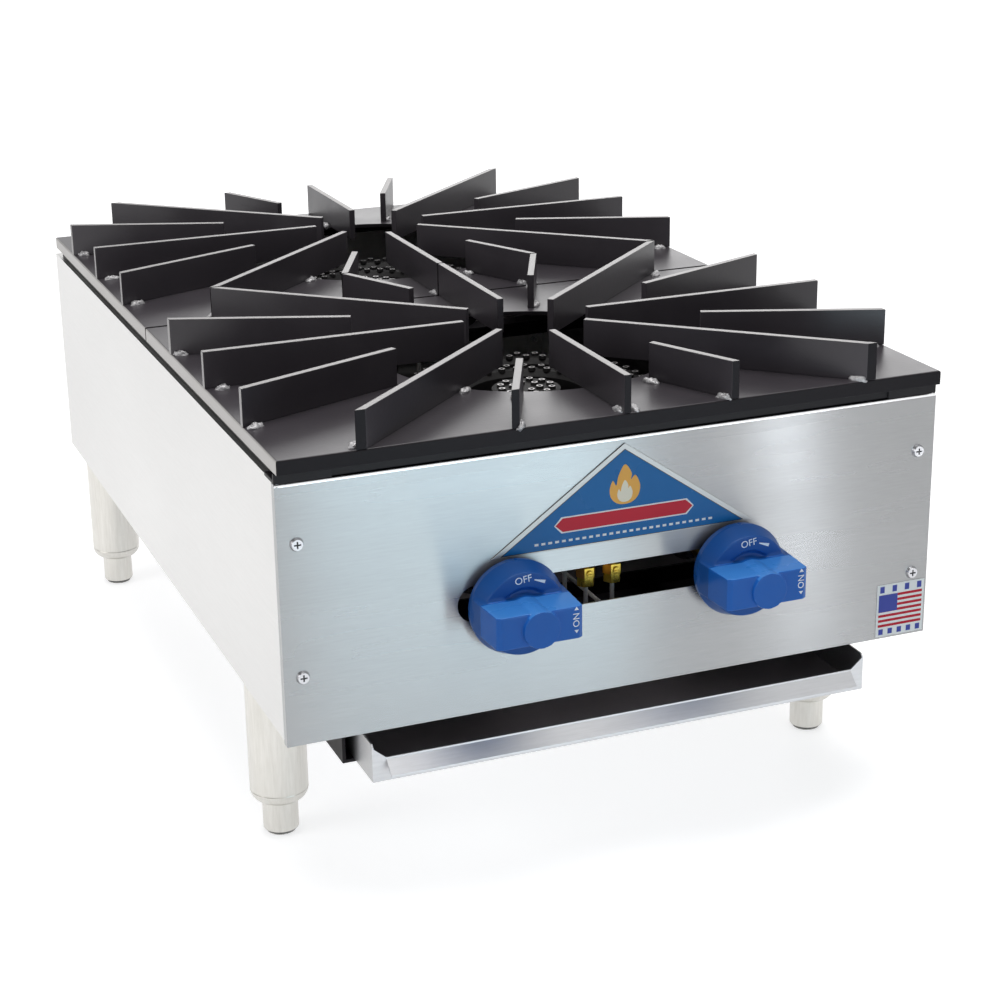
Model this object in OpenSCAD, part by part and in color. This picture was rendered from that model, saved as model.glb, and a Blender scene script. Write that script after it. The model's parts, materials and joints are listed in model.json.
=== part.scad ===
/* [Body] */
// Width across the front panel
body_w = 457; // [420:1:520]
// Depth from the front face to the back face
body_d = 669; // [620:1:760]
// Height of the four panels
body_h = 171.6; // [165:0.1:200]
// Thickness of the panel sheet
sheet = 1.2; // [0.8:0.1:1.6]
// Depth of the flanges along the panels' top edges
top_flange = 24; // [18:1:30]
// Depth of the bottom flanges of the front and back panels
bottom_return = 12; // [8:1:14]
// Depth of the front panel's returns round the sides
side_return = 6; // [4:0.5:10]
// Width of the side panels' screw flanges
screw_flange = 16; // [14:0.5:20]
// Gap between sheets that lap or meet at a corner
lap_gap = 0.1; // [0.05:0.05:0.3]

/* [Front panel] */
// Width of the slot that the valves stand in
slot_w = 228.4; // [200:0.1:240]
// Height of the slot
slot_h = 25; // [20:0.5:28]
// Height of the slot's centre above the panel's bottom edge
slot_z = 75; // [70:0.5:80]
// Width of the triangular badge along its base
badge_w = 184; // [150:1:200]
// Height of the badge
badge_h = 64.5; // [50:0.5:66]
// Thickness of the badge
badge_t = 1; // [0.5:0.1:1.5]
// Distance from the panel's top edge to the badge's tip
badge_drop = 4.1; // [3:0.1:6]
// Width of the label
label_w = 37; // [30:1:40]
// Height of the label
label_h = 38; // [30:1:40]
// Thickness of the label
label_t = 0.4; // [0.3:0.1:0.6]
// Distance from the label to the panel's edges
label_inset = 1.5; // [1:0.1:3]
// Diameter of the panel screws' heads
screw_head_d = 9; // [7:0.5:10]
// Height of the panel screws' heads
screw_head_h = 2.2; // [1.5:0.1:3]
// Diameter of the panel screws
screw_d = 4; // [3:0.1:4.5]
// Length of the panel screws under the head
screw_len = 9; // [6:0.5:14]
// Distance from the panel's side to a screw
screw_inset = 12.2; // [10:0.1:13]
// Distance from the panel's bottom edge to the lower screws
screw_low = 45.5; // [30:0.5:60]
// Distance from the panel's top edge to the upper screws
screw_high = 39; // [30:0.5:50]

/* [Legs] */
// Height of the body above the surface that it stands on
leg_h = 116; // [100:1:140]
// Diameter of a leg
leg_d = 40; // [36:1:44]
// Distance from a leg to the side of the body
leg_side_gap = 4; // [3:0.5:8]
// Distance from the front face to the front legs
leg_front = 113; // [100:1:130]
// Distance from the back face to the rear legs
leg_rear = 50; // [48:1:60]
// Thickness of the plate on top of a leg
leg_plate_t = 3; // [2:0.5:5]
// Height of a foot below its leg
foot_h = 24; // [20:1:30]
// Diameter of a foot
foot_d = 24.5; // [22:0.5:28]
// Diameter of the bore that a foot's shank slides in
shank_bore_d = 20; // [16:0.5:20]
// Length of a foot's shank
shank_len = 44; // [36:1:50]
// Height of the rounded shoulder at a leg's lower end
shoulder_h = 9; // [6:0.5:12]
// Diameter of the leg bolts
leg_bolt_d = 6; // [5:0.5:8]
// Thickness of a cross-member
cross_t = 2.5; // [2:0.5:4]
// Height of a cross-member's upstands
cross_h = 15; // [10:1:25]

/* [Drip tray] */
// Height of the tray's sides
tray_h = 26; // [22:1:30]
// Distance from the body's bottom edge to the tray's rim
tray_drop = 5; // [4:0.5:8]
// How far the tray's front wall stands out from the front face
tray_front_out = 8; // [4:0.5:10]
// Height of the tray's front wall
tray_front_h = 16; // [12:0.5:20]
// How far the tray's lip reaches forwards and downwards
tray_lip = 9; // [6:0.5:12]
// Distance from the tray's side to the end of its lip
tray_lip_inset = 9.4; // [6:0.1:14]
// Thickness of the tray's sheet
tray_t = 1.2; // [0.8:0.1:1.6]
// Width of a runner beside the tray
runner_w = 7.2; // [6:0.1:9]
// Thickness of a runner's sheet
runner_t = 2.4; // [1.6:0.1:3]
// Width of the ledge that the tray slides on
ledge_w = 18; // [14:1:24]
// Distance from the front face to the runners
runner_front = 30; // [20:1:40]
// Sideways clearance of the tray and of the runners
tray_clear = 0.4; // [0.3:0.1:1]

/* [Top frame] */
// Thickness of the black frame's angles
rail_t = 2.5; // [2:0.5:4]
// Width of the angles' flat legs
rail_w = 20; // [14:1:22]
// Distance from the front face to the front angle
rail_front = 0.5; // [0.3:0.1:1]
// Clearance between an angle and a grate's flange
rail_clear = 0.8; // [0.5:0.1:1.5]

/* [Grates] */
// Height of the grate plates' top above the panels
grate_rise = 16.5; // [15:0.5:22]
// Thickness of a grate plate
plate_t = 3.2; // [2.5:0.1:4]
// Depth of the flanges round a grate
grate_flange = 9.4; // [8:0.1:11]
// Radius of the bend between plate and flange
bend_r = 2.4; // [1:0.1:3]
// How far the front grate stands out over the front face
grate_over = 5; // [4:0.5:8]
// Distance from the back face to the rear grate
grate_rear = 10; // [8:0.5:14]
// Distance from the body's side to a grate's side
grate_side = 0.5; // [0.3:0.1:1]
// Gap between the two grates
grate_gap = 2; // [1:0.5:4]
// Diameter of the opening over a burner
opening_d = 206; // [180:1:230]
// Height of the fins
fin_h = 25; // [20:0.5:32]
// Thickness of the fins
fin_t = 4.8; // [4:0.1:6]
// Distance from the burner's centre to the long straight fins
straight_fin_r = 46; // [44:1:60]
// Distance from the burner's centre to the diagonal fins
diagonal_fin_r = 43; // [40:1:60]
// Distance from the burner's centre to the short fins near front and rear
front_fin_r = 112; // [106:1:125]
// Distance from the burner's centre to the short fins near the sides
side_fin_r = 120; // [110:1:135]
// Sideways offset of a diagonal fin's outer end
diagonal_fin_x = 175; // [150:1:190]
// Sideways offset of a front or rear short fin's outer end
front_fin_x = 75.5; // [60:0.5:90]
// Offset of a side short fin's outer end along the depth
side_fin_y = 92; // [75:1:110]

/* [Burners] */
// Height of the burner bars' top above the panels' bottom edge
bar_z = 132; // [128:1:138]
// Height of a burner bar
bar_h = 13.7; // [10:0.1:18]
// Width of a burner bar's flat leg
bar_w = 20; // [16:1:26]
// Distance from the burner's centre to a bar
bar_off = 60; // [50:1:66]
// Thickness of the burner bars
bar_t = 2.5; // [2:0.5:3]
// Diameter of a burner's head
head_d = 176; // [168:1:190]
// Height of a burner's head
head_h = 28; // [22:1:30]
// Width of a burner's rings
ring_w = 15; // [12:0.5:18]
// Diameter of the inner ring
inner_ring_d = 112; // [100:1:120]
// Diameter of the hub
hub_d = 48; // [44:1:56]
// Width of the arms between the rings
arm_w = 14; // [10:1:18]
// Diameter of the mixing tube
tube_d = 32; // [28:1:34]
// Wall of the mixing tube
tube_wall = 3; // [2:0.5:4]
// Wall of the air shutter
shutter_wall = 1.5; // [1:0.1:2]
// Length of the air shutter
shutter_len = 15; // [10:0.5:16]
// Radial clearance of the air shutter on its tube
shutter_clear = 0.08; // [0.03:0.01:0.1]

/* [Gas train] */
// Diameter of the gas pipe
pipe_d = 26.7; // [21.3:0.1:26.7]
// Wall of the gas pipe
pipe_wall = 2.9; // [2:0.1:4]
// Height of the gas pipe's axis above the panels' bottom edge
pipe_z = 97; // [96:0.5:102]
// Distance from the front face to the manifold
pipe_y = 30; // [28:0.5:36]
// Gap between the supply pipe and the side panel's screw flange
pipe_side_gap = 1.65; // [1:0.05:5]
// How far the supply pipe stands out from the back face
inlet_reach = 22; // [18:1:40]
// Length of the supply pipe's threaded end
thread_len = 18; // [14:1:18]
// Radius of the elbow's bend
elbow_r = 22; // [20:1:30]
// Wall of the elbow and the end cap
fitting_wall = 4; // [3:0.5:5]
// Depth of the fittings' sockets
socket_len = 13; // [10:0.5:16]
// Radial clearance of a pipe or thread in its hole
pipe_clear = 0.05; // [0.02:0.01:0.1]
// Thickness of the manifold's brackets
bracket_t = 3; // [2:0.5:4]

/* [Valves and knobs] */
// Distance between the two knobs
knob_pitch = 157; // [150:1:164]
// Height of the knobs' axis above the panels' bottom edge
knob_z = 73; // [71:0.5:75]
// Diameter of a knob's skirt
knob_d = 63; // [58:1:68]
// Diameter of a knob's flat face
knob_face_d = 49; // [44:1:52]
// How far a knob's boss stands out from the front face
knob_reach = 52; // [46:1:56]
// Distance from the front face to a knob's back
knob_back = 4; // [3:0.5:5]
// Distance from the front face to a knob's flat face
knob_face = 23; // [20:0.5:26]
// Thickness of a knob's grip
grip_t = 21.5; // [16:0.5:23]
// Length of a knob's grip
grip_l = 57; // [48:1:58]
// Diameter of the boss on a grip
boss_d = 23; // [20:0.5:26]
// How far the boss stands out from the grip
boss_out = 2; // [1:0.5:3]
// Diameter of a valve stem
stem_d = 7.9; // [6.5:0.1:8]
// Radial clearance of a stem in its bore
stem_clear = 0.05; // [0.02:0.01:0.1]
// Diameter of a gas valve's body
valve_d = 20; // [16:0.5:20]
// Length of a gas valve's body
valve_len = 32; // [28:1:36]
// Length of the orifice hood
hood_len = 16; // [14:0.5:18]
// Sideways place of the left pilot valve
left_pilot_x = -13.3; // [-20:0.1:-8]
// Sideways place of the right pilot valve
right_pilot_x = 5.6; // [5:0.1:20]
// Width of the pilot valves across their flats
pilot_hex = 12; // [10:0.5:13]
// Diameter of a pilot tube
pilot_tube_d = 3; // [2.5:0.1:4]
// Radius of the pilot tubes' bends
pilot_bend_r = 8; // [6:0.5:10]
// Diameter of a pilot valve's adjusting screw
adjuster_d = 3.8; // [3:0.1:4]

/* [Hidden] */
$fn = 64;

// The origin is under the middle of the object, from the knobs' ends to the gas inlet's end.
front_y = knob_reach - (knob_reach + body_d + inlet_reach) / 2;
back_y = front_y + body_d;
side_x = body_w / 2;
body_z = leg_h;
top_z = leg_h + body_h;

// The side panels stand inside the front panel's returns.
panel_x = side_x - sheet - lap_gap;
inner_x = panel_x - sheet;
corner_x = inner_x - lap_gap;
flange_z = top_z - sheet - lap_gap;

// Legs, runners and tray lie side by side under the body.
leg_x = side_x - leg_side_gap - leg_d / 2;
leg_front_y = front_y + leg_front;
leg_rear_y = back_y - leg_rear;
runner_x = leg_x - leg_d / 2 - tray_clear;
tray_x = runner_x - runner_w - tray_clear;
tray_top = body_z - tray_drop;
tray_bottom = tray_top - tray_h;
runner_y0 = front_y + runner_front;
runner_y1 = back_y - bottom_return - 2;
tray_y0 = front_y - tray_front_out;
tray_y1 = runner_y1 - runner_t;
bolt_head_d = 1.7 * leg_bolt_d;
bolt_off = leg_d / 2 + bolt_head_d / 2 + 2;
cross_w = 2 * bolt_off + bolt_head_d + 4;
cross_z = body_z + sheet;

// Grates and the black frame that carries them.
plate_top = top_z + grate_rise;
plate_under = plate_top - plate_t;
grate_d = (body_d + grate_over - grate_rear - grate_gap) / 2;
grate_x = side_x - grate_side;
front_burner_y = front_y - grate_over + grate_d / 2;
rear_burner_y = back_y - grate_rear - grate_d / 2;
rail_x = grate_x - plate_t - rail_clear;
rail_y0 = front_y + rail_front;
rail_y1 = back_y - grate_rear - plate_t - rail_clear;
tab_z = plate_top - grate_flange - 0.5;

// Burners.
head_z = body_z + bar_z;
head_top = head_z + head_h;
knob_x = knob_pitch / 2;
axis_z = body_z + knob_z;
tube_r = tube_d / 2;
neck_r = tube_r + 4;
valve_y0 = front_y + pipe_y - valve_len / 2;
valve_y1 = valve_y0 + valve_len;
hood_y1 = valve_y1 + hood_len;
mouth_y = hood_y1 + 1;

// Gas train.
pipe_r = pipe_d / 2;
main_y = front_y + pipe_y;
main_z = body_z + pipe_z;
supply_x = inner_x - screw_flange - pipe_r - pipe_side_gap;
bracket_x = knob_x + valve_d / 2 + 12;
cap_x = -bracket_x - bracket_t / 2 - 2 - socket_len - fitting_wall;
socket_r = pipe_r + pipe_clear;
collar_r = pipe_r + fitting_wall;
bore_r = pipe_r - pipe_wall;
under_pipe = main_z - pipe_r;
stem_r = stem_d / 2;
flat_z = axis_z + stem_d / 4;
stem_y0 = front_y - knob_reach + 14;
nipple_r = 4.9;
pilot_nipple_r = 2.9;
pilot_hex_d = pilot_hex / cos(30);
pilot_valve_z = main_z - pipe_r - 7.6;
pilot_mid_z = pilot_valve_z - 7;
pilot_nut_z = pilot_mid_z - 6.2;
pilot_low_z = body_z + 40;
pilot_gap = head_d / 2 + 8;
tip_d = 8;
tip_h = 14;

// Colours.
steel = [0.78, 0.79, 0.8];
iron = [0.2, 0.19, 0.21];
black = [0.08, 0.08, 0.09];
brass = [0.72, 0.56, 0.28];
blue = [0.12, 0.31, 0.68];

// A box from one corner to the other.
module block(a, b) {
    translate(a)
        cube(b - a);
}

// A rod along Y, from y0 to y1.
module rod_y(r, y0, y1, x = 0, z = 0) {
    translate([x, y1, z])
        rotate([90, 0, 0])
            cylinder(r = r, h = y1 - y0);
}

// A rod along X, from x0 to x1.
module rod_x(r, x0, x1, y = 0, z = 0) {
    translate([x0, y, z])
        rotate([0, 90, 0])
            cylinder(r = r, h = x1 - x0);
}

// The heights of the panel screws.
function screw_heights() = [body_z + screw_low, top_z - screw_high];

// The holes of the panel screws, through everything near one face.
module screw_holes(y) {
    for (x = [-side_x + screw_inset, side_x - screw_inset], z = screw_heights())
        rod_y(screw_d / 2 + lap_gap, y - 8, y + 8, x, z);
}

// The stadium slot in the front panel.
module slot_cut() {
    r = slot_h / 2;
    z = body_z + slot_z;
    for (x = [-1, 1])
        rod_y(r, front_y - 1, front_y + sheet + 1, x * (slot_w / 2 - r), z);
    block([-slot_w / 2 + r, front_y - 1, z - r], [slot_w / 2 - r, front_y + sheet + 1, z + r]);
}

module front_panel() {
    color(steel)
        difference() {
            union() {
                block([-side_x, front_y, body_z], [side_x, front_y + sheet, top_z]);
                for (x = [-side_x, side_x - sheet])
                    block([x, front_y, body_z], [x + sheet, front_y + side_return, top_z]);
                block([-corner_x, front_y, top_z - sheet], [corner_x, front_y + top_flange, top_z]);
                block([-corner_x, front_y, body_z], [corner_x, front_y + bottom_return, body_z + sheet]);
            }
            slot_cut();
            screw_holes(front_y);
        }
}

module side_panel() {
    difference() {
        union() {
            block([inner_x, front_y + sheet, body_z], [panel_x, back_y - sheet, top_z]);
            for (y = [front_y + sheet, back_y - 2 * sheet])
                block([inner_x - screw_flange, y, body_z + sheet + lap_gap], [inner_x, y + sheet, flange_z]);
            block([inner_x - top_flange, front_y + top_flange + lap_gap, top_z - sheet],
                  [inner_x, back_y - top_flange - lap_gap, top_z]);
            block([leg_x - leg_d / 2, front_y + bottom_return + lap_gap, body_z],
                  [inner_x, back_y - bottom_return - lap_gap, body_z + sheet]);
        }
        screw_holes(front_y);
        screw_holes(back_y);
        leg_bolt_holes();
    }
}

module left_side_panel() {
    color(steel)
        mirror([1, 0, 0])
            side_panel();
}

module right_side_panel() {
    color(steel)
        side_panel();
}

module back_panel() {
    color(steel)
        difference() {
            union() {
                block([-panel_x, back_y - sheet, body_z], [panel_x, back_y, top_z]);
                block([-corner_x, back_y - top_flange, top_z - sheet], [corner_x, back_y, top_z]);
                block([-corner_x, back_y - bottom_return, body_z], [corner_x, back_y, body_z + sheet]);
            }
            screw_holes(back_y);
            rod_y(pipe_r + 0.5, back_y - 5, back_y + 5, supply_x, main_z);
        }
}

// A pan-head screw with a cross recess, its shank along Y towards +Y.
module pan_screw() {
    difference() {
        union() {
            rotate([90, 0, 0])
                cylinder(r1 = screw_head_d / 2, r2 = screw_head_d / 2 - 1, h = screw_head_h);
            rod_y(screw_d / 2, -0.5, screw_len);
        }
        for (a = [0, 90])
            rotate([0, a, 0])
                block([-screw_head_d / 4, -screw_head_h - 1, -0.5], [screw_head_d / 4, -screw_head_h + 1, 0.5]);
    }
}

module front_panel_screws() {
    color(steel)
        for (x = [-side_x + screw_inset, side_x - screw_inset], z = screw_heights())
            translate([x, front_y, z])
                pan_screw();
}

module back_panel_screws() {
    color(steel)
        for (x = [-side_x + screw_inset, side_x - screw_inset], z = screw_heights())
            translate([x, back_y, z])
                rotate([0, 0, 180])
                    pan_screw();
}

module badge_plate() {
    z = top_z - badge_drop;
    color(blue)
        translate([0, front_y, 0])
            rotate([90, 0, 0])
                linear_extrude(badge_t)
                    polygon([[-badge_w / 2, z - badge_h], [badge_w / 2, z - badge_h], [0, z]]);
}

module label_plate() {
    color("white")
        block([side_x - label_inset - label_w, front_y - label_t, body_z + label_inset],
              [side_x - label_inset, front_y, body_z + label_inset + label_h]);
}

module front_top_rail() {
    color(black) {
        block([-side_x, rail_y0, top_z], [side_x, rail_y0 + rail_w, top_z + rail_t]);
        block([-side_x, rail_y0, top_z], [side_x, rail_y0 + rail_t, tab_z]);
        block([-rail_x, rail_y0, top_z], [rail_x, rail_y0 + rail_t, plate_under]);
    }
}

module rear_top_rail() {
    color(black) {
        block([-rail_x, rail_y1 - rail_w, top_z], [rail_x, rail_y1, top_z + rail_t]);
        block([-rail_x, rail_y1 - rail_t, top_z], [rail_x, rail_y1, plate_under]);
    }
}

module side_top_rail() {
    y0 = rail_y0 + rail_w;
    y1 = rail_y1 - rail_w;
    block([rail_x - rail_w, y0, top_z], [rail_x, y1, top_z + rail_t]);
    block([rail_x - rail_t, y0, top_z], [rail_x, y1, plate_under]);
}

module left_top_rail() {
    color(black)
        mirror([1, 0, 0])
            side_top_rail();
}

module right_top_rail() {
    color(black)
        side_top_rail();
}

// One copy at each of the four legs.
module at_legs() {
    for (x = [-leg_x, leg_x], y = [leg_front_y, leg_rear_y])
        translate([x, y, 0])
            children();
}

module leg_bolt_holes() {
    at_legs()
        for (y = [-bolt_off, bolt_off])
            translate([0, y, body_z - leg_plate_t - 1])
                cylinder(d = leg_bolt_d + 0.4, h = leg_plate_t + sheet + cross_t + 2);
}

module leg() {
    z1 = body_z - leg_plate_t;
    r = leg_d / 2;
    bore_r = shank_bore_d / 2;
    color(steel)
        rotate_extrude()
            difference() {
                union() {
                    translate([0, foot_h + shoulder_h])
                        square([r, z1 - foot_h - shoulder_h]);
                    translate([0, foot_h])
                        square([r - shoulder_h, shoulder_h]);
                    intersection() {
                        translate([r - shoulder_h, foot_h + shoulder_h])
                            circle(shoulder_h);
                        translate([0, foot_h])
                            square([r, shoulder_h]);
                    }
                }
                translate([0, foot_h - 1])
                    square([bore_r, z1 + 2]);
                translate([0, foot_h + shank_len + 2])
                    square([r - 2.5, z1]);
            }
}

module foot() {
    r = foot_d / 2;
    bevel = 3;
    color(steel) {
        cylinder(r1 = r - bevel, r2 = r, h = bevel);
        translate([0, 0, bevel])
            cylinder(r = r, h = foot_h - bevel);
        cylinder(r = shank_bore_d / 2 - pipe_clear, h = foot_h + shank_len);
    }
}

module front_left_leg() { translate([-leg_x, leg_front_y, 0]) leg(); }
module front_right_leg() { translate([leg_x, leg_front_y, 0]) leg(); }
module rear_left_leg() { translate([-leg_x, leg_rear_y, 0]) leg(); }
module rear_right_leg() { translate([leg_x, leg_rear_y, 0]) leg(); }
module front_left_foot() { translate([-leg_x, leg_front_y, 0]) foot(); }
module front_right_foot() { translate([leg_x, leg_front_y, 0]) foot(); }
module rear_left_foot() { translate([-leg_x, leg_rear_y, 0]) foot(); }
module rear_right_foot() { translate([leg_x, leg_rear_y, 0]) foot(); }

module leg_plates() {
    color(steel)
        difference() {
            at_legs()
                block([-leg_d / 2, -cross_w / 2, body_z - leg_plate_t], [leg_d / 2, cross_w / 2, body_z]);
            leg_bolt_holes();
        }
}

module leg_bolts() {
    grip = leg_plate_t + sheet + cross_t;
    color(steel)
        at_legs()
            for (y = [-bolt_off, bolt_off])
                translate([0, y, body_z - leg_plate_t - 0.65 * leg_bolt_d]) {
                    cylinder(d = bolt_head_d, h = 0.65 * leg_bolt_d, $fn = 6);
                    cylinder(d = leg_bolt_d, h = 0.65 * leg_bolt_d + grip + 5);
                    translate([0, 0, 0.65 * leg_bolt_d + grip])
                        cylinder(d = bolt_head_d, h = 4, $fn = 6);
                }
}

module cross_member(y) {
    color(black)
        difference() {
            union() {
                block([-corner_x, y - cross_w / 2, cross_z], [corner_x, y + cross_w / 2, cross_z + cross_t]);
                for (y0 = [y - cross_w / 2, y + cross_w / 2 - cross_t])
                    block([-corner_x, y0, cross_z], [corner_x, y0 + cross_t, cross_z + cross_h]);
            }
            leg_bolt_holes();
        }
}

module front_cross_member() { cross_member(leg_front_y); }
module rear_cross_member() { cross_member(leg_rear_y); }

// A channel that hangs from the cross-members, open towards the tray, with a stop at its rear end.
module tray_runner() {
    x1 = runner_x;
    x0 = runner_x - runner_w;
    block([x1 - runner_t, runner_y0, tray_bottom - runner_t], [x1, runner_y1, cross_z]);
    block([x0, runner_y0, cross_z - runner_t], [x1, runner_y1, cross_z]);
    block([x1 - ledge_w, runner_y0, tray_bottom - runner_t], [x1, runner_y1, tray_bottom]);
    block([x1 - ledge_w, runner_y1 - runner_t, tray_bottom], [x1, runner_y1, tray_top]);
}

module left_tray_runner() {
    color(black)
        mirror([1, 0, 0])
            tray_runner();
}

module right_tray_runner() {
    color(black)
        tray_runner();
}

module drip_tray() {
    t = tray_t;
    front_z = tray_bottom + tray_front_h;
    shoulder_z = tray_top - 2;
    lip_x = tray_x - tray_lip_inset;
    color(steel) {
        block([-tray_x, tray_y0, tray_bottom], [tray_x, tray_y1, tray_bottom + t]);
        block([-tray_x, tray_y1 - t, tray_bottom], [tray_x, tray_y1, tray_top]);
        for (x = [-tray_x, tray_x - t])
            translate([x, 0, 0])
                rotate([90, 0, 90])
                    linear_extrude(t)
                        polygon([[tray_y0, tray_bottom], [tray_y1, tray_bottom], [tray_y1, tray_top],
                                 [tray_y0 + 2, tray_top], [tray_y0, shoulder_z]]);
        translate([0, tray_y0 + t, 0])
            rotate([90, 0, 0])
                linear_extrude(t)
                    polygon([[-tray_x, tray_bottom], [tray_x, tray_bottom], [tray_x, shoulder_z],
                             [lip_x, front_z], [-lip_x, front_z], [-tray_x, shoulder_z]]);
        translate([-lip_x, 0, 0])
            rotate([90, 0, 90])
                linear_extrude(2 * lip_x)
                    polygon([[tray_y0 + t, front_z], [tray_y0 - tray_lip, front_z - tray_lip],
                             [tray_y0 - tray_lip, front_z - tray_lip - t * sqrt(2)],
                             [tray_y0, front_z - t * sqrt(2)], [tray_y0 + t, front_z - t]]);
    }
}

// A block whose top edges at the sides and the front are round, from z0 up to z1.
module cap_shape(x, y0, y1, z0, z1, r) {
    intersection() {
        union() {
            block([-x, y0, z0], [x, y1, z1 - r]);
            block([-x + r, y0, z0], [x - r, y1, z1]);
            for (s = [-1, 1])
                rod_y(r, y0, y1, s * (x - r), z1 - r);
        }
        union() {
            block([-x, y0, z0], [x, y1, z1 - r]);
            block([-x, y0 + r, z0], [x, y1, z1]);
            rod_x(r, -x, x, y0 + r, z1 - r);
        }
    }
}

// A grate's plate: flanges at the sides and the front, plain at the rear, with a round opening.
module grate_plate() {
    z0 = plate_top - grate_flange;
    d = grate_d / 2;
    r = bend_r + 0.6;
    difference() {
        cap_shape(grate_x, -d, d, z0, plate_top, r);
        cap_shape(grate_x - plate_t, -d + plate_t, d + 1, z0 - 1, plate_under, 0.6);
        translate([0, 0, z0 - 2])
            cylinder(d = opening_d, h = grate_flange + 4, $fn = 128);
    }
}

// One fin towards an outer point, cut flush with the plate's edges.
module fin(x, y, r) {
    d = grate_d / 2;
    angle = atan2(y, x);
    intersection() {
        rotate([0, 0, angle])
            block([r, -fin_t / 2, plate_top], [norm([x, y]) + 10, fin_t / 2, plate_top + fin_h]);
        block([-grate_x, -d, plate_top - 1], [grate_x, d, plate_top + fin_h + 1]);
    }
}

module grate_fins() {
    d = grate_d / 2;
    for (s = [-1, 1]) {
        fin(s * grate_x, 0, straight_fin_r);
        fin(0, s * d, straight_fin_r);
        for (t = [-1, 1]) {
            fin(s * diagonal_fin_x, t * d, diagonal_fin_r);
            fin(s * front_fin_x, t * d, front_fin_r);
            fin(s * grate_x, t * side_fin_y, side_fin_r);
        }
    }
}

module front_grate_plate() {
    color(iron)
        translate([0, front_burner_y, 0])
            grate_plate();
}

module front_grate_fins() {
    color(iron)
        translate([0, front_burner_y, 0])
            grate_fins();
}

module rear_grate_plate() {
    color(iron)
        translate([0, rear_burner_y, 0])
            rotate([0, 0, 180])
                grate_plate();
}

module rear_grate_fins() {
    color(iron)
        translate([0, rear_burner_y, 0])
            grate_fins();
}

// Two angles across the body, with a tab against each side panel.
module burner_bars(y) {
    color(black)
        for (s = [-1, 1])
            translate([0, y, 0]) {
                y0 = s * bar_off - bar_w / 2;
                web_y = s * bar_off - bar_t / 2;
                block([-inner_x, y0, head_z - bar_t], [inner_x, y0 + bar_w, head_z]);
                block([-inner_x, web_y, head_z - bar_h], [inner_x, web_y + bar_t, head_z]);
                for (x = [-inner_x, inner_x - bar_t])
                    block([x, y0, head_z - bar_h], [x + bar_t, y0 + bar_w, head_z]);
            }
}

module front_burner_bars() { burner_bars(front_burner_y); }
module rear_burner_bars() { burner_bars(rear_burner_y); }

// A ring of the burner's head, with its crest bevelled.
module head_ring(d) {
    r0 = d / 2 - ring_w;
    bevel = ring_w / 4;
    translate([0, 0, head_z])
        rotate_extrude($fn = 96)
            polygon([[r0, 0], [d / 2, 0], [d / 2, head_h - bevel], [d / 2 - bevel, head_h],
                     [r0 + bevel, head_h], [r0, head_h - bevel]]);
}

// The mixing tube's path, filled: straight from its mouth, a quarter turn, then up into the hub.
module tube_path(y, r, up_r, mouth) {
    bend_y = y - knob_x;
    rod_y(r, mouth, bend_y, knob_x, axis_z);
    translate([0, bend_y, axis_z])
        rotate_extrude(angle = 90)
            translate([knob_x, 0])
                circle(r);
    translate([0, y, axis_z]) {
        sphere(up_r);
        cylinder(r = up_r, h = head_z + 1 - axis_z);
    }
}

// A cast burner whose mixing tube lies on the right.
module burner(y) {
    difference() {
        union() {
            tube_path(y, tube_r, neck_r, mouth_y);
            translate([0, y, 0]) {
                head_ring(head_d);
                head_ring(inner_ring_d);
                translate([0, 0, head_z])
                    cylinder(d = hub_d, h = head_h);
                for (a = [0, 90])
                    rotate([0, 0, a])
                        block([-head_d / 2 + 5, -arm_w / 2, head_z], [head_d / 2 - 5, arm_w / 2, head_z + head_h / 2]);
            }
        }
        tube_path(y, tube_r - tube_wall, neck_r - tube_wall, mouth_y - 1);
        translate([0, y, head_z])
            cylinder(d = hub_d - 4 * tube_wall, h = head_h - 2 * tube_wall);
    }
}

module front_burner() {
    color(iron)
        mirror([1, 0, 0])
            burner(front_burner_y);
}

module rear_burner() {
    color(iron)
        burner(rear_burner_y);
}

// A cup that turns on the mixing tube's mouth, with two air windows and a tab.
module air_shutter(x) {
    r0 = tube_r + shutter_clear;
    r1 = r0 + shutter_wall;
    y0 = mouth_y - 0.5 - shutter_wall;
    y1 = y0 + shutter_len;
    color(steel)
        difference() {
            union() {
                rod_y(r1, y0, y1, x, axis_z);
                block([x - 4, y0, axis_z + tube_r], [x + 4, y0 + shutter_wall, axis_z + r1 + 6]);
            }
            rod_y(r0, mouth_y - 0.5, y1 + 1, x, axis_z);
            rod_y(valve_d / 2 - 2, y0 - 1, mouth_y, x, axis_z);
            translate([x, mouth_y, axis_z])
                rotate([90, 0, 0])
                    for (a = [-35, 145])
                        rotate([0, 0, a])
                            rotate_extrude(angle = 70)
                                translate([valve_d / 2, 0])
                                    square([tube_r - tube_wall - valve_d / 2, shutter_wall + 2]);
        }
}

module front_air_shutter() { air_shutter(-knob_x); }
module rear_air_shutter() { air_shutter(knob_x); }

module manifold_pipe() {
    x1 = supply_x - elbow_r - 1;
    color(black)
        difference() {
            rod_x(pipe_r, cap_x + fitting_wall, x1, main_y, main_z);
            rod_x(bore_r, cap_x + fitting_wall - 1, x1 + 1, main_y, main_z);
            for (x = [-knob_x, knob_x])
                translate([x, main_y, under_pipe - 1])
                    cylinder(r = nipple_r + pipe_clear, h = pipe_r);
            for (x = [left_pilot_x, right_pilot_x])
                translate([x, main_y, under_pipe - 1])
                    cylinder(r = pilot_nipple_r + pipe_clear, h = pipe_r);
        }
}

module manifold_cap() {
    color(black)
        difference() {
            rod_x(collar_r, cap_x, cap_x + fitting_wall + socket_len, main_y, main_z);
            rod_x(socket_r, cap_x + fitting_wall, cap_x + fitting_wall + socket_len + 1, main_y, main_z);
        }
}

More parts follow.
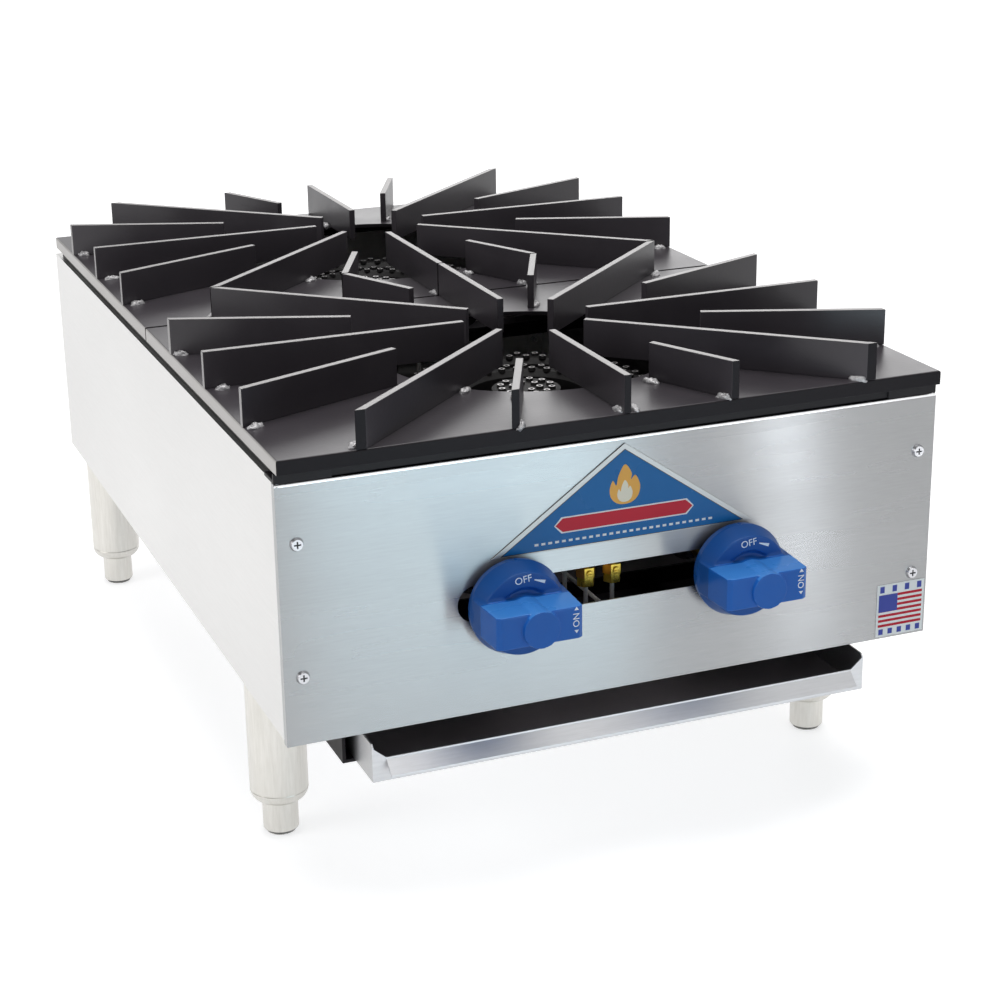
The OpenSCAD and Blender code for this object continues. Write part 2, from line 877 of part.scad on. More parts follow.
module manifold_elbow() {
    x0 = supply_x - elbow_r;
    y0 = main_y + elbow_r;
    color(black)
        difference() {
            union() {
                rod_x(collar_r, x0 - socket_len, x0, main_y, main_z);
                rod_y(collar_r, y0, y0 + socket_len, supply_x, main_z);
                translate([x0, y0, main_z])
                    rotate([0, 0, -90])
                        rotate_extrude(angle = 90)
                            translate([elbow_r, 0])
                                circle(collar_r - 1);
            }
            rod_x(socket_r, x0 - socket_len - 1, x0, main_y, main_z);
            rod_y(socket_r, y0, y0 + socket_len + 1, supply_x, main_z);
            translate([x0, y0, main_z])
                rotate([0, 0, -90])
                    rotate_extrude(angle = 90)
                        translate([elbow_r, 0])
                            circle(bore_r);
        }
}

module supply_pipe() {
    y0 = main_y + elbow_r + 1;
    y1 = back_y + inlet_reach;
    color(black)
        difference() {
            union() {
                rod_y(pipe_r, y0, y1 - thread_len, supply_x, main_z);
                rod_y(pipe_r - 0.25, y0, y1, supply_x, main_z);
            }
            rod_y(bore_r, y0 - 1, y1 + 1, supply_x, main_z);
        }
}

module manifold_brackets() {
    z1 = top_z - sheet;
    t = bracket_t / 2;
    color(black)
        for (x = [-bracket_x, bracket_x])
            difference() {
                union() {
                    block([x - t, main_y - collar_r, main_z - collar_r], [x + t, main_y + collar_r, z1]);
                    block([x - t, main_y - collar_r, z1 - bracket_t], [x + 16, front_y + top_flange - 1, z1]);
                }
                rod_x(socket_r, x - 5, x + 5, main_y, main_z);
            }
}

module gas_valve(x) {
    body_y1 = valve_y1 - 4;
    stem_bore_r = stem_r + stem_clear;
    color(brass)
        difference() {
            union() {
                rod_y(valve_d / 2, valve_y0, body_y1, x, axis_z);
                rod_y(valve_d / 2 - 3, front_y + sheet + 4, valve_y0, x, axis_z);
                rod_y(nipple_r, body_y1, valve_y1 + 5, x, axis_z);
                translate([x, main_y, axis_z]) {
                    cylinder(r = nipple_r + 1.5, h = under_pipe - axis_z);
                    cylinder(r = nipple_r, h = under_pipe + pipe_wall - axis_z);
                }
            }
            rod_y(stem_bore_r, front_y, valve_y1 - 12, x, axis_z);
            rod_y(2.5, valve_y1 - 13, valve_y1 + 6, x, axis_z);
            translate([x, main_y, axis_z])
                cylinder(r = 2.5, h = pipe_z);
        }
}

module left_gas_valve() { gas_valve(-knob_x); }
module right_gas_valve() { gas_valve(knob_x); }

module orifice_hood(x) {
    y0 = valve_y1 - 4;
    color(brass)
        difference() {
            union() {
                translate([x, hood_y1 - 6, axis_z])
                    rotate([90, 0, 0])
                        cylinder(d = 0.75 * valve_d, h = hood_y1 - 6 - y0, $fn = 6);
                rod_y(valve_d / 4, hood_y1 - 7, hood_y1, x, axis_z);
            }
            rod_y(nipple_r + pipe_clear, y0 - 1, valve_y1 + 6, x, axis_z);
            rod_y(1, valve_y1, hood_y1 + 1, x, axis_z);
        }
}

module left_orifice_hood() { orifice_hood(-knob_x); }
module right_orifice_hood() { orifice_hood(knob_x); }

// A stem with a flat where the knob holds it.
module valve_stem(x) {
    color(brass)
        difference() {
            rod_y(stem_r, stem_y0, valve_y1 - 13, x, axis_z);
            block([x - stem_d, stem_y0 - 1, flat_z], [x + stem_d, front_y - knob_back - 6, axis_z + stem_d]);
        }
}

module left_valve_stem() { valve_stem(-knob_x); }
module right_valve_stem() { valve_stem(knob_x); }

// A knob: a coned skirt, a grip bar across it and a boss, hollow behind round its socket.
module knob(x) {
    r = knob_d / 2;
    skirt_z = knob_back + 6;
    grip_z = knob_reach - boss_out;
    hub_r = stem_r + 4;
    color(blue)
        difference() {
            translate([x, front_y, axis_z])
                rotate([90, 0, 0])
                    difference() {
                        union() {
                            rotate_extrude($fn = 96)
                                polygon([[0, knob_back], [r - 1, knob_back], [r, skirt_z],
                                         [knob_face_d / 2, knob_face], [0, knob_face]]);
                            rotate([90, 0, 0])
                                translate([0, 0, -grip_t / 2])
                                    linear_extrude(grip_t)
                                        polygon([[1 - r, skirt_z], [r - 1, skirt_z], [grip_l / 2, grip_z - 3],
                                                 [grip_l / 2 - 3, grip_z], [3 - grip_l / 2, grip_z],
                                                 [-grip_l / 2, grip_z - 3]]);
                            cylinder(d = boss_d, h = knob_reach);
                        }
                        rotate_extrude()
                            translate([hub_r, knob_back - 1])
                                square([knob_face_d / 2 - 4 - hub_r, knob_face - knob_back - 4]);
                        for (a = [90, 180])
                            rotate([0, 0, a])
                                translate([r, 0, 0])
                                    cylinder(r = 1.2, h = skirt_z + 3);
                    }
            difference() {
                rod_y(stem_r + stem_clear, stem_y0 - 0.5, front_y, x, axis_z);
                block([x - stem_d, stem_y0 - 1, flat_z + 0.1], [x + stem_d, front_y - knob_back - 6.2, axis_z + stem_d]);
            }
        }
}

module left_knob() { knob(-knob_x); }
module right_knob() { knob(knob_x); }

// A pilot valve under the manifold, with a bore for its adjusting screw.
module pilot_valve(x) {
    color(brass)
        difference() {
            translate([x, main_y, 0]) {
                translate([0, 0, pilot_mid_z])
                    cylinder(d = pilot_hex_d, h = pilot_valve_z - pilot_mid_z, $fn = 6);
                translate([0, 0, pilot_valve_z - 1])
                    cylinder(r = pilot_nipple_r + 0.8, h = under_pipe - pilot_valve_z + 1);
                translate([0, 0, under_pipe - 1])
                    cylinder(r = pilot_nipple_r, h = pipe_wall + 1);
            }
            translate([x, main_y, pilot_mid_z - 1])
                cylinder(r = 0.8, h = main_z - pilot_mid_z);
            rod_y(adjuster_d / 2 + stem_clear, main_y - pilot_hex, main_y - 1.5, x, pilot_mid_z + 3.5);
        }
}

module left_pilot_valve() { pilot_valve(left_pilot_x); }
module right_pilot_valve() { pilot_valve(right_pilot_x); }

// A slotted adjusting screw in the front of a pilot valve.
module pilot_screw(x) {
    y0 = main_y - pilot_hex / 2 - 1.5;
    z = pilot_mid_z + 3.5;
    color(brass)
        difference() {
            rod_y(adjuster_d / 2, y0, main_y - 1.8, x, z);
            block([x - adjuster_d, y0 - 1, z - 0.4], [x + adjuster_d, y0 + 1, z + 0.4]);
        }
}

module left_pilot_screw() { pilot_screw(left_pilot_x); }
module right_pilot_screw() { pilot_screw(right_pilot_x); }

module pilot_nuts() {
    color(brass)
        for (x = [left_pilot_x, right_pilot_x])
            translate([x, main_y, pilot_nut_z])
                difference() {
                    cylinder(d = 0.9 * pilot_hex_d, h = pilot_mid_z - pilot_nut_z, $fn = 6);
                    translate([0, 0, -1])
                        cylinder(r = pilot_tube_d / 2 + pipe_clear, h = 10);
                }
}

// A pilot tube: down from its valve, back under the burner's tube, and up beside the head.
module pilot_tube(x, burner_y) {
    r = pilot_tube_d / 2;
    b = pilot_bend_r;
    y1 = burner_y - pilot_gap;
    color(brass)
        translate([x, 0, 0]) {
            translate([0, main_y, pilot_low_z + b])
                cylinder(r = r, h = pilot_mid_z - pilot_low_z - b);
            rod_y(r, main_y + b, y1 - b, 0, pilot_low_z);
            translate([0, y1, pilot_low_z + b])
                cylinder(r = r, h = head_z + 14 - pilot_low_z - b);
            translate([0, main_y + b, pilot_low_z + b])
                rotate([90, 0, -90])
                    rotate([0, 0, -90])
                        rotate_extrude(angle = 90)
                            translate([b, 0])
                                circle(r);
            translate([0, y1 - b, pilot_low_z + b])
                rotate([90, 0, 90])
                    rotate([0, 0, -90])
                        rotate_extrude(angle = 90)
                            translate([b, 0])
                                circle(r);
        }
}

module front_pilot_tube() { pilot_tube(left_pilot_x, front_burner_y); }
module rear_pilot_tube() { pilot_tube(right_pilot_x, rear_burner_y); }

// A pilot's tip on the end of its tube, with a flame hole in its side.
module pilot_tip(x, burner_y) {
    color(steel)
        translate([x, burner_y - pilot_gap, head_z + 8])
            difference() {
                cylinder(d = tip_d, h = tip_h);
                translate([0, 0, -1])
                    cylinder(r = pilot_tube_d / 2 + pipe_clear, h = 7);
                rod_y(1.5, 0, tip_d, 0, tip_h - 4);
            }
}

module front_pilot_tip() { pilot_tip(left_pilot_x, front_burner_y); }
module rear_pilot_tip() { pilot_tip(right_pilot_x, rear_burner_y); }

front_panel();
left_side_panel();
right_side_panel();
back_panel();
front_top_rail();
rear_top_rail();
left_top_rail();
right_top_rail();
front_cross_member();
rear_cross_member();
front_burner_bars();
rear_burner_bars();
front_grate_plate();
front_grate_fins();
rear_grate_plate();
rear_grate_fins();
front_burner();
rear_burner();
front_air_shutter();
rear_air_shutter();
manifold_pipe();
manifold_cap();
manifold_elbow();
supply_pipe();
manifold_brackets();
left_gas_valve();
right_gas_valve();
left_valve_stem();
right_valve_stem();
left_orifice_hood();
right_orifice_hood();
left_knob();
right_knob();
left_pilot_valve();
right_pilot_valve();
left_pilot_screw();
right_pilot_screw();
pilot_nuts();
front_pilot_tube();
rear_pilot_tube();
front_pilot_tip();
rear_pilot_tip();
drip_tray();
left_tray_runner();
right_tray_runner();
front_left_leg();
front_right_leg();
rear_left_leg();
rear_right_leg();
front_left_foot();
front_right_foot();
rear_left_foot();
rear_right_foot();
leg_plates();
leg_bolts();
front_panel_screws();
back_panel_screws();
badge_plate();
label_plate();
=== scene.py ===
import json
import math

import bpy
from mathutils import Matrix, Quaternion, Vector, noise

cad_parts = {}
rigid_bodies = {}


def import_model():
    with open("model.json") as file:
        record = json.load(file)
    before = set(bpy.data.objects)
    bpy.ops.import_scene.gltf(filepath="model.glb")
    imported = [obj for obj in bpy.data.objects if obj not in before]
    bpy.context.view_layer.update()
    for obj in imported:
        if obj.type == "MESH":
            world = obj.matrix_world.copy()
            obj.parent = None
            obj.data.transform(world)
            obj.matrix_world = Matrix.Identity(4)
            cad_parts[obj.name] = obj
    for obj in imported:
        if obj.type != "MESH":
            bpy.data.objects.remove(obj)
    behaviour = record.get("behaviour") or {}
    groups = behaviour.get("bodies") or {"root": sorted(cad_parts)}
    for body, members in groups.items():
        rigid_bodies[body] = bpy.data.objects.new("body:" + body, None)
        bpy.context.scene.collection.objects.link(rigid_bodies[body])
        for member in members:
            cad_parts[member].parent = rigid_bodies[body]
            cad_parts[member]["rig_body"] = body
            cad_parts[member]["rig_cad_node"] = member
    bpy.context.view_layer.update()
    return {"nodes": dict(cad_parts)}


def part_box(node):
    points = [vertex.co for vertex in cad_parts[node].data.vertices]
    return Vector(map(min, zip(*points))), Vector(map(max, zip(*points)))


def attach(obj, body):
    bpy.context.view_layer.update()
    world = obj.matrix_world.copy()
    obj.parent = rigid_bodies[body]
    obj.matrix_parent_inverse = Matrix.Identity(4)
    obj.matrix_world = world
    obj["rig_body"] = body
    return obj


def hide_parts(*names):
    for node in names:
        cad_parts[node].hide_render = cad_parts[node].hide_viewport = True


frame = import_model()
mm = 0.001
print("frame loaded,", len(frame["nodes"]), "nodes")

# camera and studio

photoCamera = {
    "place": (-0.5506, -1.4910, 0.7045),
    "azimuth": 21.688,
    "elevation": 19.520,
    "roll": -0.871,
    "lens": 77.81,
    "sensor": 36,
    "nearClip": 0.05,
}


def addCamera(spec):
    bpy.ops.object.camera_add(location=spec["place"])
    camera = bpy.context.object
    camera.name = "photoCamera"
    a = math.radians(spec["azimuth"])
    e = math.radians(spec["elevation"])
    ahead = Vector((math.sin(a) * math.cos(e), math.cos(a) * math.cos(e), -math.sin(e)))
    turn = Quaternion((0, 0, 1), math.radians(spec["roll"]))
    camera.rotation_mode = "QUATERNION"
    camera.rotation_quaternion = ahead.to_track_quat("-Z", "Y") @ turn
    camera.data.sensor_width = spec["sensor"]
    camera.data.lens = spec["lens"]
    camera.data.clip_start = spec["nearClip"]
    bpy.context.scene.camera = camera


studio = {
    "floorSize": 14.0,
    "floorHeight": -0.0005,  # just under the feet
    "floorColour": (0.60, 0.60, 0.605, 1),
    "floorRoughness": 0.9,
    "nearGlow": 0.70,  # seen by the camera and by gloss only, more of it far from the lamps
    "farGlow": 0.93,
    "glowReach": (1.0, 3.0),
    "worldColour": (0.95, 0.97, 1.0, 1),
    "worldStrength": 0.27,
    "flagAim": (-0.65, 0.0, 0.76),  # a dark flag up on the left, seen only in reflections
    "flagEdge": (0.5, 0.8),  # where it begins and where it is darkest
    "flagDark": 0.3,
    "lamps": [
        {"name": "leftSoftbox", "place": (-2.8, -0.2, 1.3), "aim": (0, 0, 0.2),
         "size": (1.6, 1.2), "power": 22.5},
        {"name": "topSoftbox", "place": (0.05, -0.05, 2.6), "aim": (0, 0, 0.2),
         "size": (1.7, 1.7), "power": 42, "colour": (1.0, 0.99, 0.98)},
        {"name": "backCard", "place": (1.1, 2.2, 1.2), "aim": (0.1, 0, 0.3),
         "size": (1.5, 0.9), "power": 8.8},
        {"name": "coolCard", "place": (0.172, -1.1, 0.17), "aim": (-0.12, -0.32, 0.21),
         "size": (0.345, 0.28), "roll": -11, "power": 1.0, "colour": (0.58, 0.87, 1.0)},
        {"name": "rightStrip", "place": (0.54, -1.1, 0.11), "aim": (0.11, -0.32, 0.21),
         "size": (0.050, 0.21), "roll": 12, "power": 0.25, "colour": (0.9, 0.95, 1.0)},
    ],
}


def newMaterial(name, **fixed):
    # what is the same all over is set on the shader's own sockets
    mat = bpy.data.materials.new(name)
    mat.use_nodes = True
    shader = mat.node_tree.nodes["Principled BSDF"]
    for label, value in fixed.items():
        shader.inputs[label.replace("_", " ")].default_value = value
    return mat, mat.node_tree, shader


def addNode(tree, kind, operation=None, **fixed):
    node = tree.nodes.new("ShaderNode" + kind)
    if operation:
        node.operation = operation
    for label, value in fixed.items():
        node.inputs[label.replace("_", " ")].default_value = value
    return node


def addRange(tree, socket, span, low, high):
    # a value that goes from low to high while the socket crosses the span
    node = addNode(tree, "MapRange", From_Min=span[0], From_Max=span[1], To_Min=low, To_Max=high)
    tree.links.new(socket, node.inputs["Value"])
    return node.outputs["Result"]


def seenDirectly(tree):
    # 1 for what the camera sees and for what gloss mirrors
    light = addNode(tree, "LightPath")
    either = addNode(tree, "Math", "MAXIMUM")
    tree.links.new(light.outputs["Is Camera Ray"], either.inputs[0])
    tree.links.new(light.outputs["Is Glossy Ray"], either.inputs[1])
    return either.outputs[0]


def floorMaterial(spec):
    mat, tree, shader = newMaterial(
        "paleFloor", Base_Color=spec["floorColour"], Roughness=spec["floorRoughness"],
        Emission_Color=(1, 1, 1, 1),
    )
    place = addNode(tree, "TexCoord")
    reach = addNode(tree, "VectorMath", "LENGTH")
    glow = addNode(tree, "Math", "MULTIPLY")
    tree.links.new(place.outputs["Object"], reach.inputs[0])
    level = addRange(tree, reach.outputs["Value"], spec["glowReach"], spec["nearGlow"], spec["farGlow"])
    tree.links.new(seenDirectly(tree), glow.inputs[0])
    tree.links.new(level, glow.inputs[1])
    tree.links.new(glow.outputs[0], shader.inputs["Emission Strength"])
    return mat


def lightWorld(spec):
    # soft light on the object, and a white room in the picture and in reflections
    world = bpy.context.scene.world or bpy.data.worlds.new("studioWorld")
    bpy.context.scene.world = world
    world.use_nodes = True
    tree = world.node_tree
    tree.nodes.clear()
    room = addNode(tree, "Background", Color=spec["worldColour"], Strength=spec["worldStrength"])
    white = addNode(tree, "Background", Color=(1, 1, 1, 1))
    toward = addNode(tree, "TexCoord")
    flag = addNode(tree, "VectorMath", "DOT_PRODUCT")
    flag.inputs[1].default_value = spec["flagAim"]
    tree.links.new(toward.outputs["Generated"], flag.inputs[0])
    shade = addRange(tree, flag.outputs["Value"], spec["flagEdge"], 1.0, spec["flagDark"])
    tree.links.new(shade, white.inputs["Strength"])
    mix = addNode(tree, "MixShader")
    out = addNode(tree, "OutputWorld")
    tree.links.new(seenDirectly(tree), mix.inputs[0])
    tree.links.new(room.outputs[0], mix.inputs[1])
    tree.links.new(white.outputs[0], mix.inputs[2])
    tree.links.new(mix.outputs[0], out.inputs[0])


def addStudio(spec):
    bpy.ops.mesh.primitive_plane_add(size=spec["floorSize"], location=(0, 0, spec["floorHeight"]))
    floor = bpy.context.object
    floor.name = "studioFloor"
    floor.data.materials.append(floorMaterial(spec))
    lightWorld(spec)
    for lamp in spec["lamps"]:
        bpy.ops.object.light_add(type="AREA", location=lamp["place"])
        card = bpy.context.object
        card.name = lamp["name"]
        card.data.shape = "RECTANGLE"
        card.data.size, card.data.size_y = lamp["size"]
        card.data.energy = lamp["power"]
        card.data.color = lamp.get("colour", (1, 1, 1))
        card.visible_camera = False
        aim = Vector(lamp["aim"]) - Vector(lamp["place"])
        roll = Quaternion((0, 0, 1), math.radians(lamp.get("roll", 0)))
        card.rotation_mode = "QUATERNION"
        card.rotation_quaternion = aim.to_track_quat("-Z", "Y") @ roll
    bpy.context.scene.view_settings.view_transform = "Standard"


addCamera(photoCamera)
addStudio(studio)
print("camera and studio ready")

# shader groups that several finishes share

grain = {
    "noiseSpan": (0.3, 0.7),  # where nearly all of a noise's values lie
    "brushedDepth": 0.2 * mm,
    "mottledDepth": 0.4 * mm,
}


def newGroup(name, inputs, outputs):
    group = bpy.data.node_groups.new(name, "ShaderNodeTree")
    for label, kind, value in inputs:
        socket = group.interface.new_socket(label, in_out="INPUT", socket_type=kind)
        socket.default_value = value
    for label, kind in outputs:
        group.interface.new_socket(label, in_out="OUTPUT", socket_type=kind)
    return group, group.nodes.new("NodeGroupInput"), group.nodes.new("NodeGroupOutput")


def stretchedNoise(group, socket, detail, roughness):
    # object coordinates times a vector, into a noise texture
    place = addNode(group, "TexCoord")
    times = addNode(group, "VectorMath", "MULTIPLY")
    pattern = addNode(group, "TexNoise", Scale=1.0, Detail=detail, Roughness=roughness)
    group.links.new(place.outputs["Object"], times.inputs[0])
    group.links.new(socket, times.inputs[1])
    group.links.new(times.outputs[0], pattern.inputs["Vector"])
    return pattern.outputs["Fac"]


def makeBrushGroup():
    # fine lines along one direction, and broad soft changes in the sheen
    group, start, end = newGroup(
        "brushedGrain",
        [("Stretch", "NodeSocketVector", (1, 1, 1)), ("Fine Stretch", "NodeSocketVector", (1, 1, 1))],
        [("Lines", "NodeSocketFloat"), ("Broad", "NodeSocketFloat"), ("Height", "NodeSocketFloat")],
    )
    broad = stretchedNoise(group, start.outputs["Stretch"], detail=3.0, roughness=0.55)
    fine = stretchedNoise(group, start.outputs["Fine Stretch"], detail=4.0, roughness=0.7)
    group.links.new(addRange(group, fine, grain["noiseSpan"], 0, 1), end.inputs["Lines"])
    group.links.new(broad, end.inputs["Broad"])
    group.links.new(fine, end.inputs["Height"])
    return group


def makeGrimeGroup():
    # cloudy mottling with fine specks, for paint, iron and plating
    group, start, end = newGroup(
        "mottledSurface",
        [("Cloud Stretch", "NodeSocketVector", (12, 12, 12)),
         ("Speck Stretch", "NodeSocketVector", (420, 420, 420))],
        [("Clouds", "NodeSocketFloat"), ("Specks", "NodeSocketFloat")],
    )
    clouds = stretchedNoise(group, start.outputs["Cloud Stretch"], detail=4.0, roughness=0.55)
    specks = stretchedNoise(group, start.outputs["Speck Stretch"], detail=2.0, roughness=0.5)
    group.links.new(clouds, end.inputs["Clouds"])
    group.links.new(specks, end.inputs["Specks"])
    return group


brushGroup = makeBrushGroup()
grimeGroup = makeGrimeGroup()


def addSheen(tree, socket, rough, shader):
    tree.links.new(addRange(tree, socket, grain["noiseSpan"], *rough), shader.inputs["Roughness"])


def addColour(tree, socket, dark, light, shader):
    node = addNode(tree, "Mix")
    node.data_type = "RGBA"
    node.inputs["A"].default_value = (*dark, 1)
    node.inputs["B"].default_value = (*light, 1)
    tree.links.new(socket, node.inputs["Factor"])
    tree.links.new(node.outputs["Result"], shader.inputs["Base Color"])


def addBump(tree, socket, strength, distance, shader):
    bump = addNode(tree, "Bump", Strength=strength, Distance=distance)
    tree.links.new(socket, bump.inputs["Height"])
    tree.links.new(bump.outputs["Normal"], shader.inputs["Normal"])


def brushedMaterial(name, dark, light, stretch, fineStretch, rough, bump, **fixed):
    mat, tree, shader = newMaterial(name, Metallic=1.0, **fixed)
    surface = addNode(tree, "Group")
    surface.node_tree = brushGroup
    surface.inputs["Stretch"].default_value = stretch
    surface.inputs["Fine Stretch"].default_value = fineStretch
    addColour(tree, surface.outputs["Lines"], dark, light, shader)
    addSheen(tree, surface.outputs["Broad"], rough, shader)
    addBump(tree, surface.outputs["Height"], bump, grain["brushedDepth"], shader)
    return mat


def mottledMaterial(name, dark, light, rough, bump, clouds=(12, 12, 12), specks=(420, 420, 420), **fixed):
    mat, tree, shader = newMaterial(name, **fixed)
    surface = addNode(tree, "Group")
    surface.node_tree = grimeGroup
    surface.inputs["Cloud Stretch"].default_value = clouds
    surface.inputs["Speck Stretch"].default_value = specks
    addColour(tree, surface.outputs["Clouds"], dark, light, shader)
    addSheen(tree, surface.outputs["Clouds"], rough, shader)
    addBump(tree, surface.outputs["Specks"], bump, grain["mottledDepth"], shader)
    return mat


# the two ends of each finish's colour and roughness, how strong its bump is, and any other fixed values

brushedFinishes = {
    # the front panel's steel is a darker copy of the side panels' steel: painted shade
    "shadedFrontSteel": {
        "dark": (0.325, 0.33, 0.335), "light": (0.355, 0.36, 0.365), "stretch": (2, 2, 22),
        "fineStretch": (45, 50, 820), "rough": (0.24, 0.30), "bump": 0.07, "Anisotropic": 1.0,
        "Anisotropic_Rotation": 0.25,
    },
    "sideSteel": {
        "dark": (0.635, 0.63, 0.62), "light": (0.665, 0.66, 0.65), "stretch": (3, 2, 3),
        "fineStretch": (900, 40, 900), "rough": (0.34, 0.44), "bump": 0.04,
    },
    "traySteel": {
        "dark": (0.50, 0.505, 0.52), "light": (0.56, 0.565, 0.58), "stretch": (6, 6, 6),
        "fineStretch": (40, 500, 500), "rough": (0.34, 0.44), "bump": 0.05,
    },
    "legSteel": {
        "dark": (0.60, 0.585, 0.545), "light": (0.685, 0.67, 0.635), "stretch": (8, 8, 3),
        "fineStretch": (500, 500, 40), "rough": (0.28, 0.36), "bump": 0.03,
    },
}

plainPrint = {"rough": (0.3, 0.4), "bump": 0.02, "Specular_IOR_Level": 0.2}

mottledFinishes = {
    "blackFrame": {
        "dark": (0.008, 0.007, 0.009), "light": (0.018, 0.016, 0.018), "rough": (0.4, 0.55),
        "bump": 0.1, "Specular_IOR_Level": 0.2,
    },
    "grateCoat": {
        "dark": (0.029, 0.025, 0.030), "light": (0.060, 0.053, 0.061), "rough": (0.29, 0.39),
        "bump": 0.12, "Specular_IOR_Level": 0.46,
    },
    "frontFaceShade": {
        "dark": (0.012, 0.0105, 0.0125), "light": (0.026, 0.023, 0.026), "rough": (0.4, 0.5),
        "bump": 0.1, "Specular_IOR_Level": 0.1,
    },
    "finEdgeHighlight": {
        "dark": (0.20, 0.195, 0.195), "light": (0.40, 0.39, 0.39), "rough": (0.42, 0.55), "bump": 0.3,
        "Metallic": 0.7,
    },
    "plateSideHighlight": {
        "dark": (0.27, 0.26, 0.25), "light": (0.42, 0.405, 0.39), "rough": (0.3, 0.42), "bump": 0.15,
        "Metallic": 0.9,
    },
    "weldBeads": {
        "dark": (0.16, 0.155, 0.16), "light": (0.74, 0.73, 0.74), "rough": (0.3, 0.5), "bump": 0.9,
        "clouds": (520, 520, 520), "specks": (1100, 1100, 1100), "Metallic": 0.5,
    },
    "portRimHighlight": {
        "dark": (0.30, 0.29, 0.29), "light": (0.62, 0.60, 0.60), "rough": (0.25, 0.45), "bump": 0.3,
        "Metallic": 0.7,
    },
    "castIron": {
        "dark": (0.004, 0.0035, 0.004), "light": (0.011, 0.010, 0.010), "rough": (0.45, 0.62),
        "bump": 0.5, "clouds": (30, 30, 30), "specks": (260, 260, 260), "Specular_IOR_Level": 0.2,
    },
    "plating": {
        "dark": (0.48, 0.48, 0.50), "light": (0.66, 0.66, 0.68), "rough": (0.2, 0.32), "bump": 0.05,
        "Metallic": 1.0,
    },
    "recessShade": {
        "dark": (0.03, 0.03, 0.03), "light": (0.07, 0.07, 0.07), "rough": (0.4, 0.5), "bump": 0.05,
    },
    "panelBendHighlight": {
        "dark": (0.90, 0.91, 0.92), "light": (0.95, 0.95, 0.96), "rough": (0.16, 0.24), "bump": 0.03,
        "Metallic": 1.0,
    },
    "footUnderside": {
        "dark": (0.10, 0.10, 0.095), "light": (0.17, 0.17, 0.16), "rough": (0.5, 0.6), "bump": 0.1,
    },
    "trayInsideShade": {
        "dark": (0.26, 0.235, 0.255), "light": (0.34, 0.31, 0.335), "rough": (0.3, 0.42), "bump": 0.06,
        "clouds": (6, 6, 6), "Metallic": 0.25,
    },
    "blackPipe": {
        "dark": (0.030, 0.027, 0.029), "light": (0.060, 0.054, 0.057), "rough": (0.4, 0.55),
        "bump": 0.2,
    },
    "brassParts": {
        "dark": (0.50, 0.33, 0.05), "light": (0.76, 0.58, 0.11), "rough": (0.22, 0.36), "bump": 0.05,
        "clouds": (60, 60, 60), "Metallic": 1.0,
    },
    "brassShadedSide": {
        "dark": (0.62, 0.30, 0.07), "light": (0.78, 0.42, 0.12), "rough": (0.3, 0.45), "bump": 0.08,
        "clouds": (60, 60, 60), "Metallic": 0.9,
    },
    "pilotTubing": {
        "dark": (0.86, 0.85, 0.82), "light": (0.94, 0.93, 0.90), "rough": (0.3, 0.4), "bump": 0.04,
        "Metallic": 0.1,
    },
    "knobBlue": {
        "dark": (0.010, 0.108, 0.44), "light": (0.013, 0.132, 0.52), "rough": (0.17, 0.24),
        "bump": 0.03, "clouds": (20, 20, 20), "specks": (900, 900, 900), "Specular_IOR_Level": 0.22,
    },
    # a darker blue for the skirt and the face round the grip: painted shade
    "knobShadedSkirt": {
        "dark": (0.009, 0.074, 0.29), "light": (0.012, 0.092, 0.35), "rough": (0.30, 0.38),
        "bump": 0.05, "clouds": (20, 20, 20), "specks": (900, 900, 900), "Specular_IOR_Level": 0.22,
    },
    # a lighter blue for the grip's top and bottom faces: painted light
    "knobLitGrip": {
        "dark": (0.035, 0.20, 0.60), "light": (0.055, 0.25, 0.68), "rough": (0.24, 0.32), "bump": 0.03,
        "clouds": (20, 20, 20), "specks": (900, 900, 900), "Specular_IOR_Level": 0.3,
    },
    "markWhite": {
        "dark": (0.84, 0.86, 0.9), "light": (0.9, 0.92, 0.95), "rough": (0.4, 0.5), "bump": 0.02,
    },
    "badgeBlue": {
        "dark": (0.006, 0.115, 0.34), "light": (0.010, 0.155, 0.43), "rough": (0.22, 0.3), "bump": 0.02,
        "Specular_IOR_Level": 0.2,
    },
    "badgeSilver": {
        "dark": (0.40, 0.40, 0.395), "light": (0.48, 0.48, 0.475), "rough": (0.35, 0.45), "bump": 0.02,
        "Metallic": 0.6,
    },
    "blackPrintAndShade": {
        "dark": (0.012, 0.012, 0.014), "light": (0.02, 0.02, 0.022), "rough": (0.35, 0.45),
        "bump": 0.02,
    },
    "printWhite": {
        "dark": (0.80, 0.80, 0.79), "light": (0.86, 0.86, 0.85), "rough": (0.35, 0.45), "bump": 0.02,
        "Specular_IOR_Level": 0.2,
    },
    "printRed": {
        "dark": (0.52, 0.012, 0.030), "light": (0.62, 0.020, 0.045), **plainPrint,
    },
    "printOrange": {
        "dark": (0.85, 0.40, 0.07), "light": (0.92, 0.50, 0.12), **plainPrint,
    },
    "printCream": {
        "dark": (0.86, 0.78, 0.62), "light": (0.92, 0.84, 0.70), **plainPrint,
    },
    "printNavy": {
        "dark": (0.05, 0.07, 0.36), "light": (0.08, 0.10, 0.44), **plainPrint,
    },
    "labelWhite": {
        "dark": (0.90, 0.895, 0.89), "light": (0.94, 0.935, 0.93), "rough": (0.4, 0.5), "bump": 0.02,
    },
}

finishes = {name: brushedMaterial(name, **spec) for name, spec in brushedFinishes.items()}
finishes.update({name: mottledMaterial(name, **spec) for name, spec in mottledFinishes.items()})
print("finishes made,", len(finishes))

# dressed copies of the frame's pieces, with their edges rounded

edgeWork = {
    "mergeReach": 0.01 * mm,
    "flatWithin": 0.6,  # this and the next two are angles in degrees
    "bevelOver": 30,
    "smoothUnder": 50,
    "bevelSegments": 2,
    "flatWeight": 100,
}


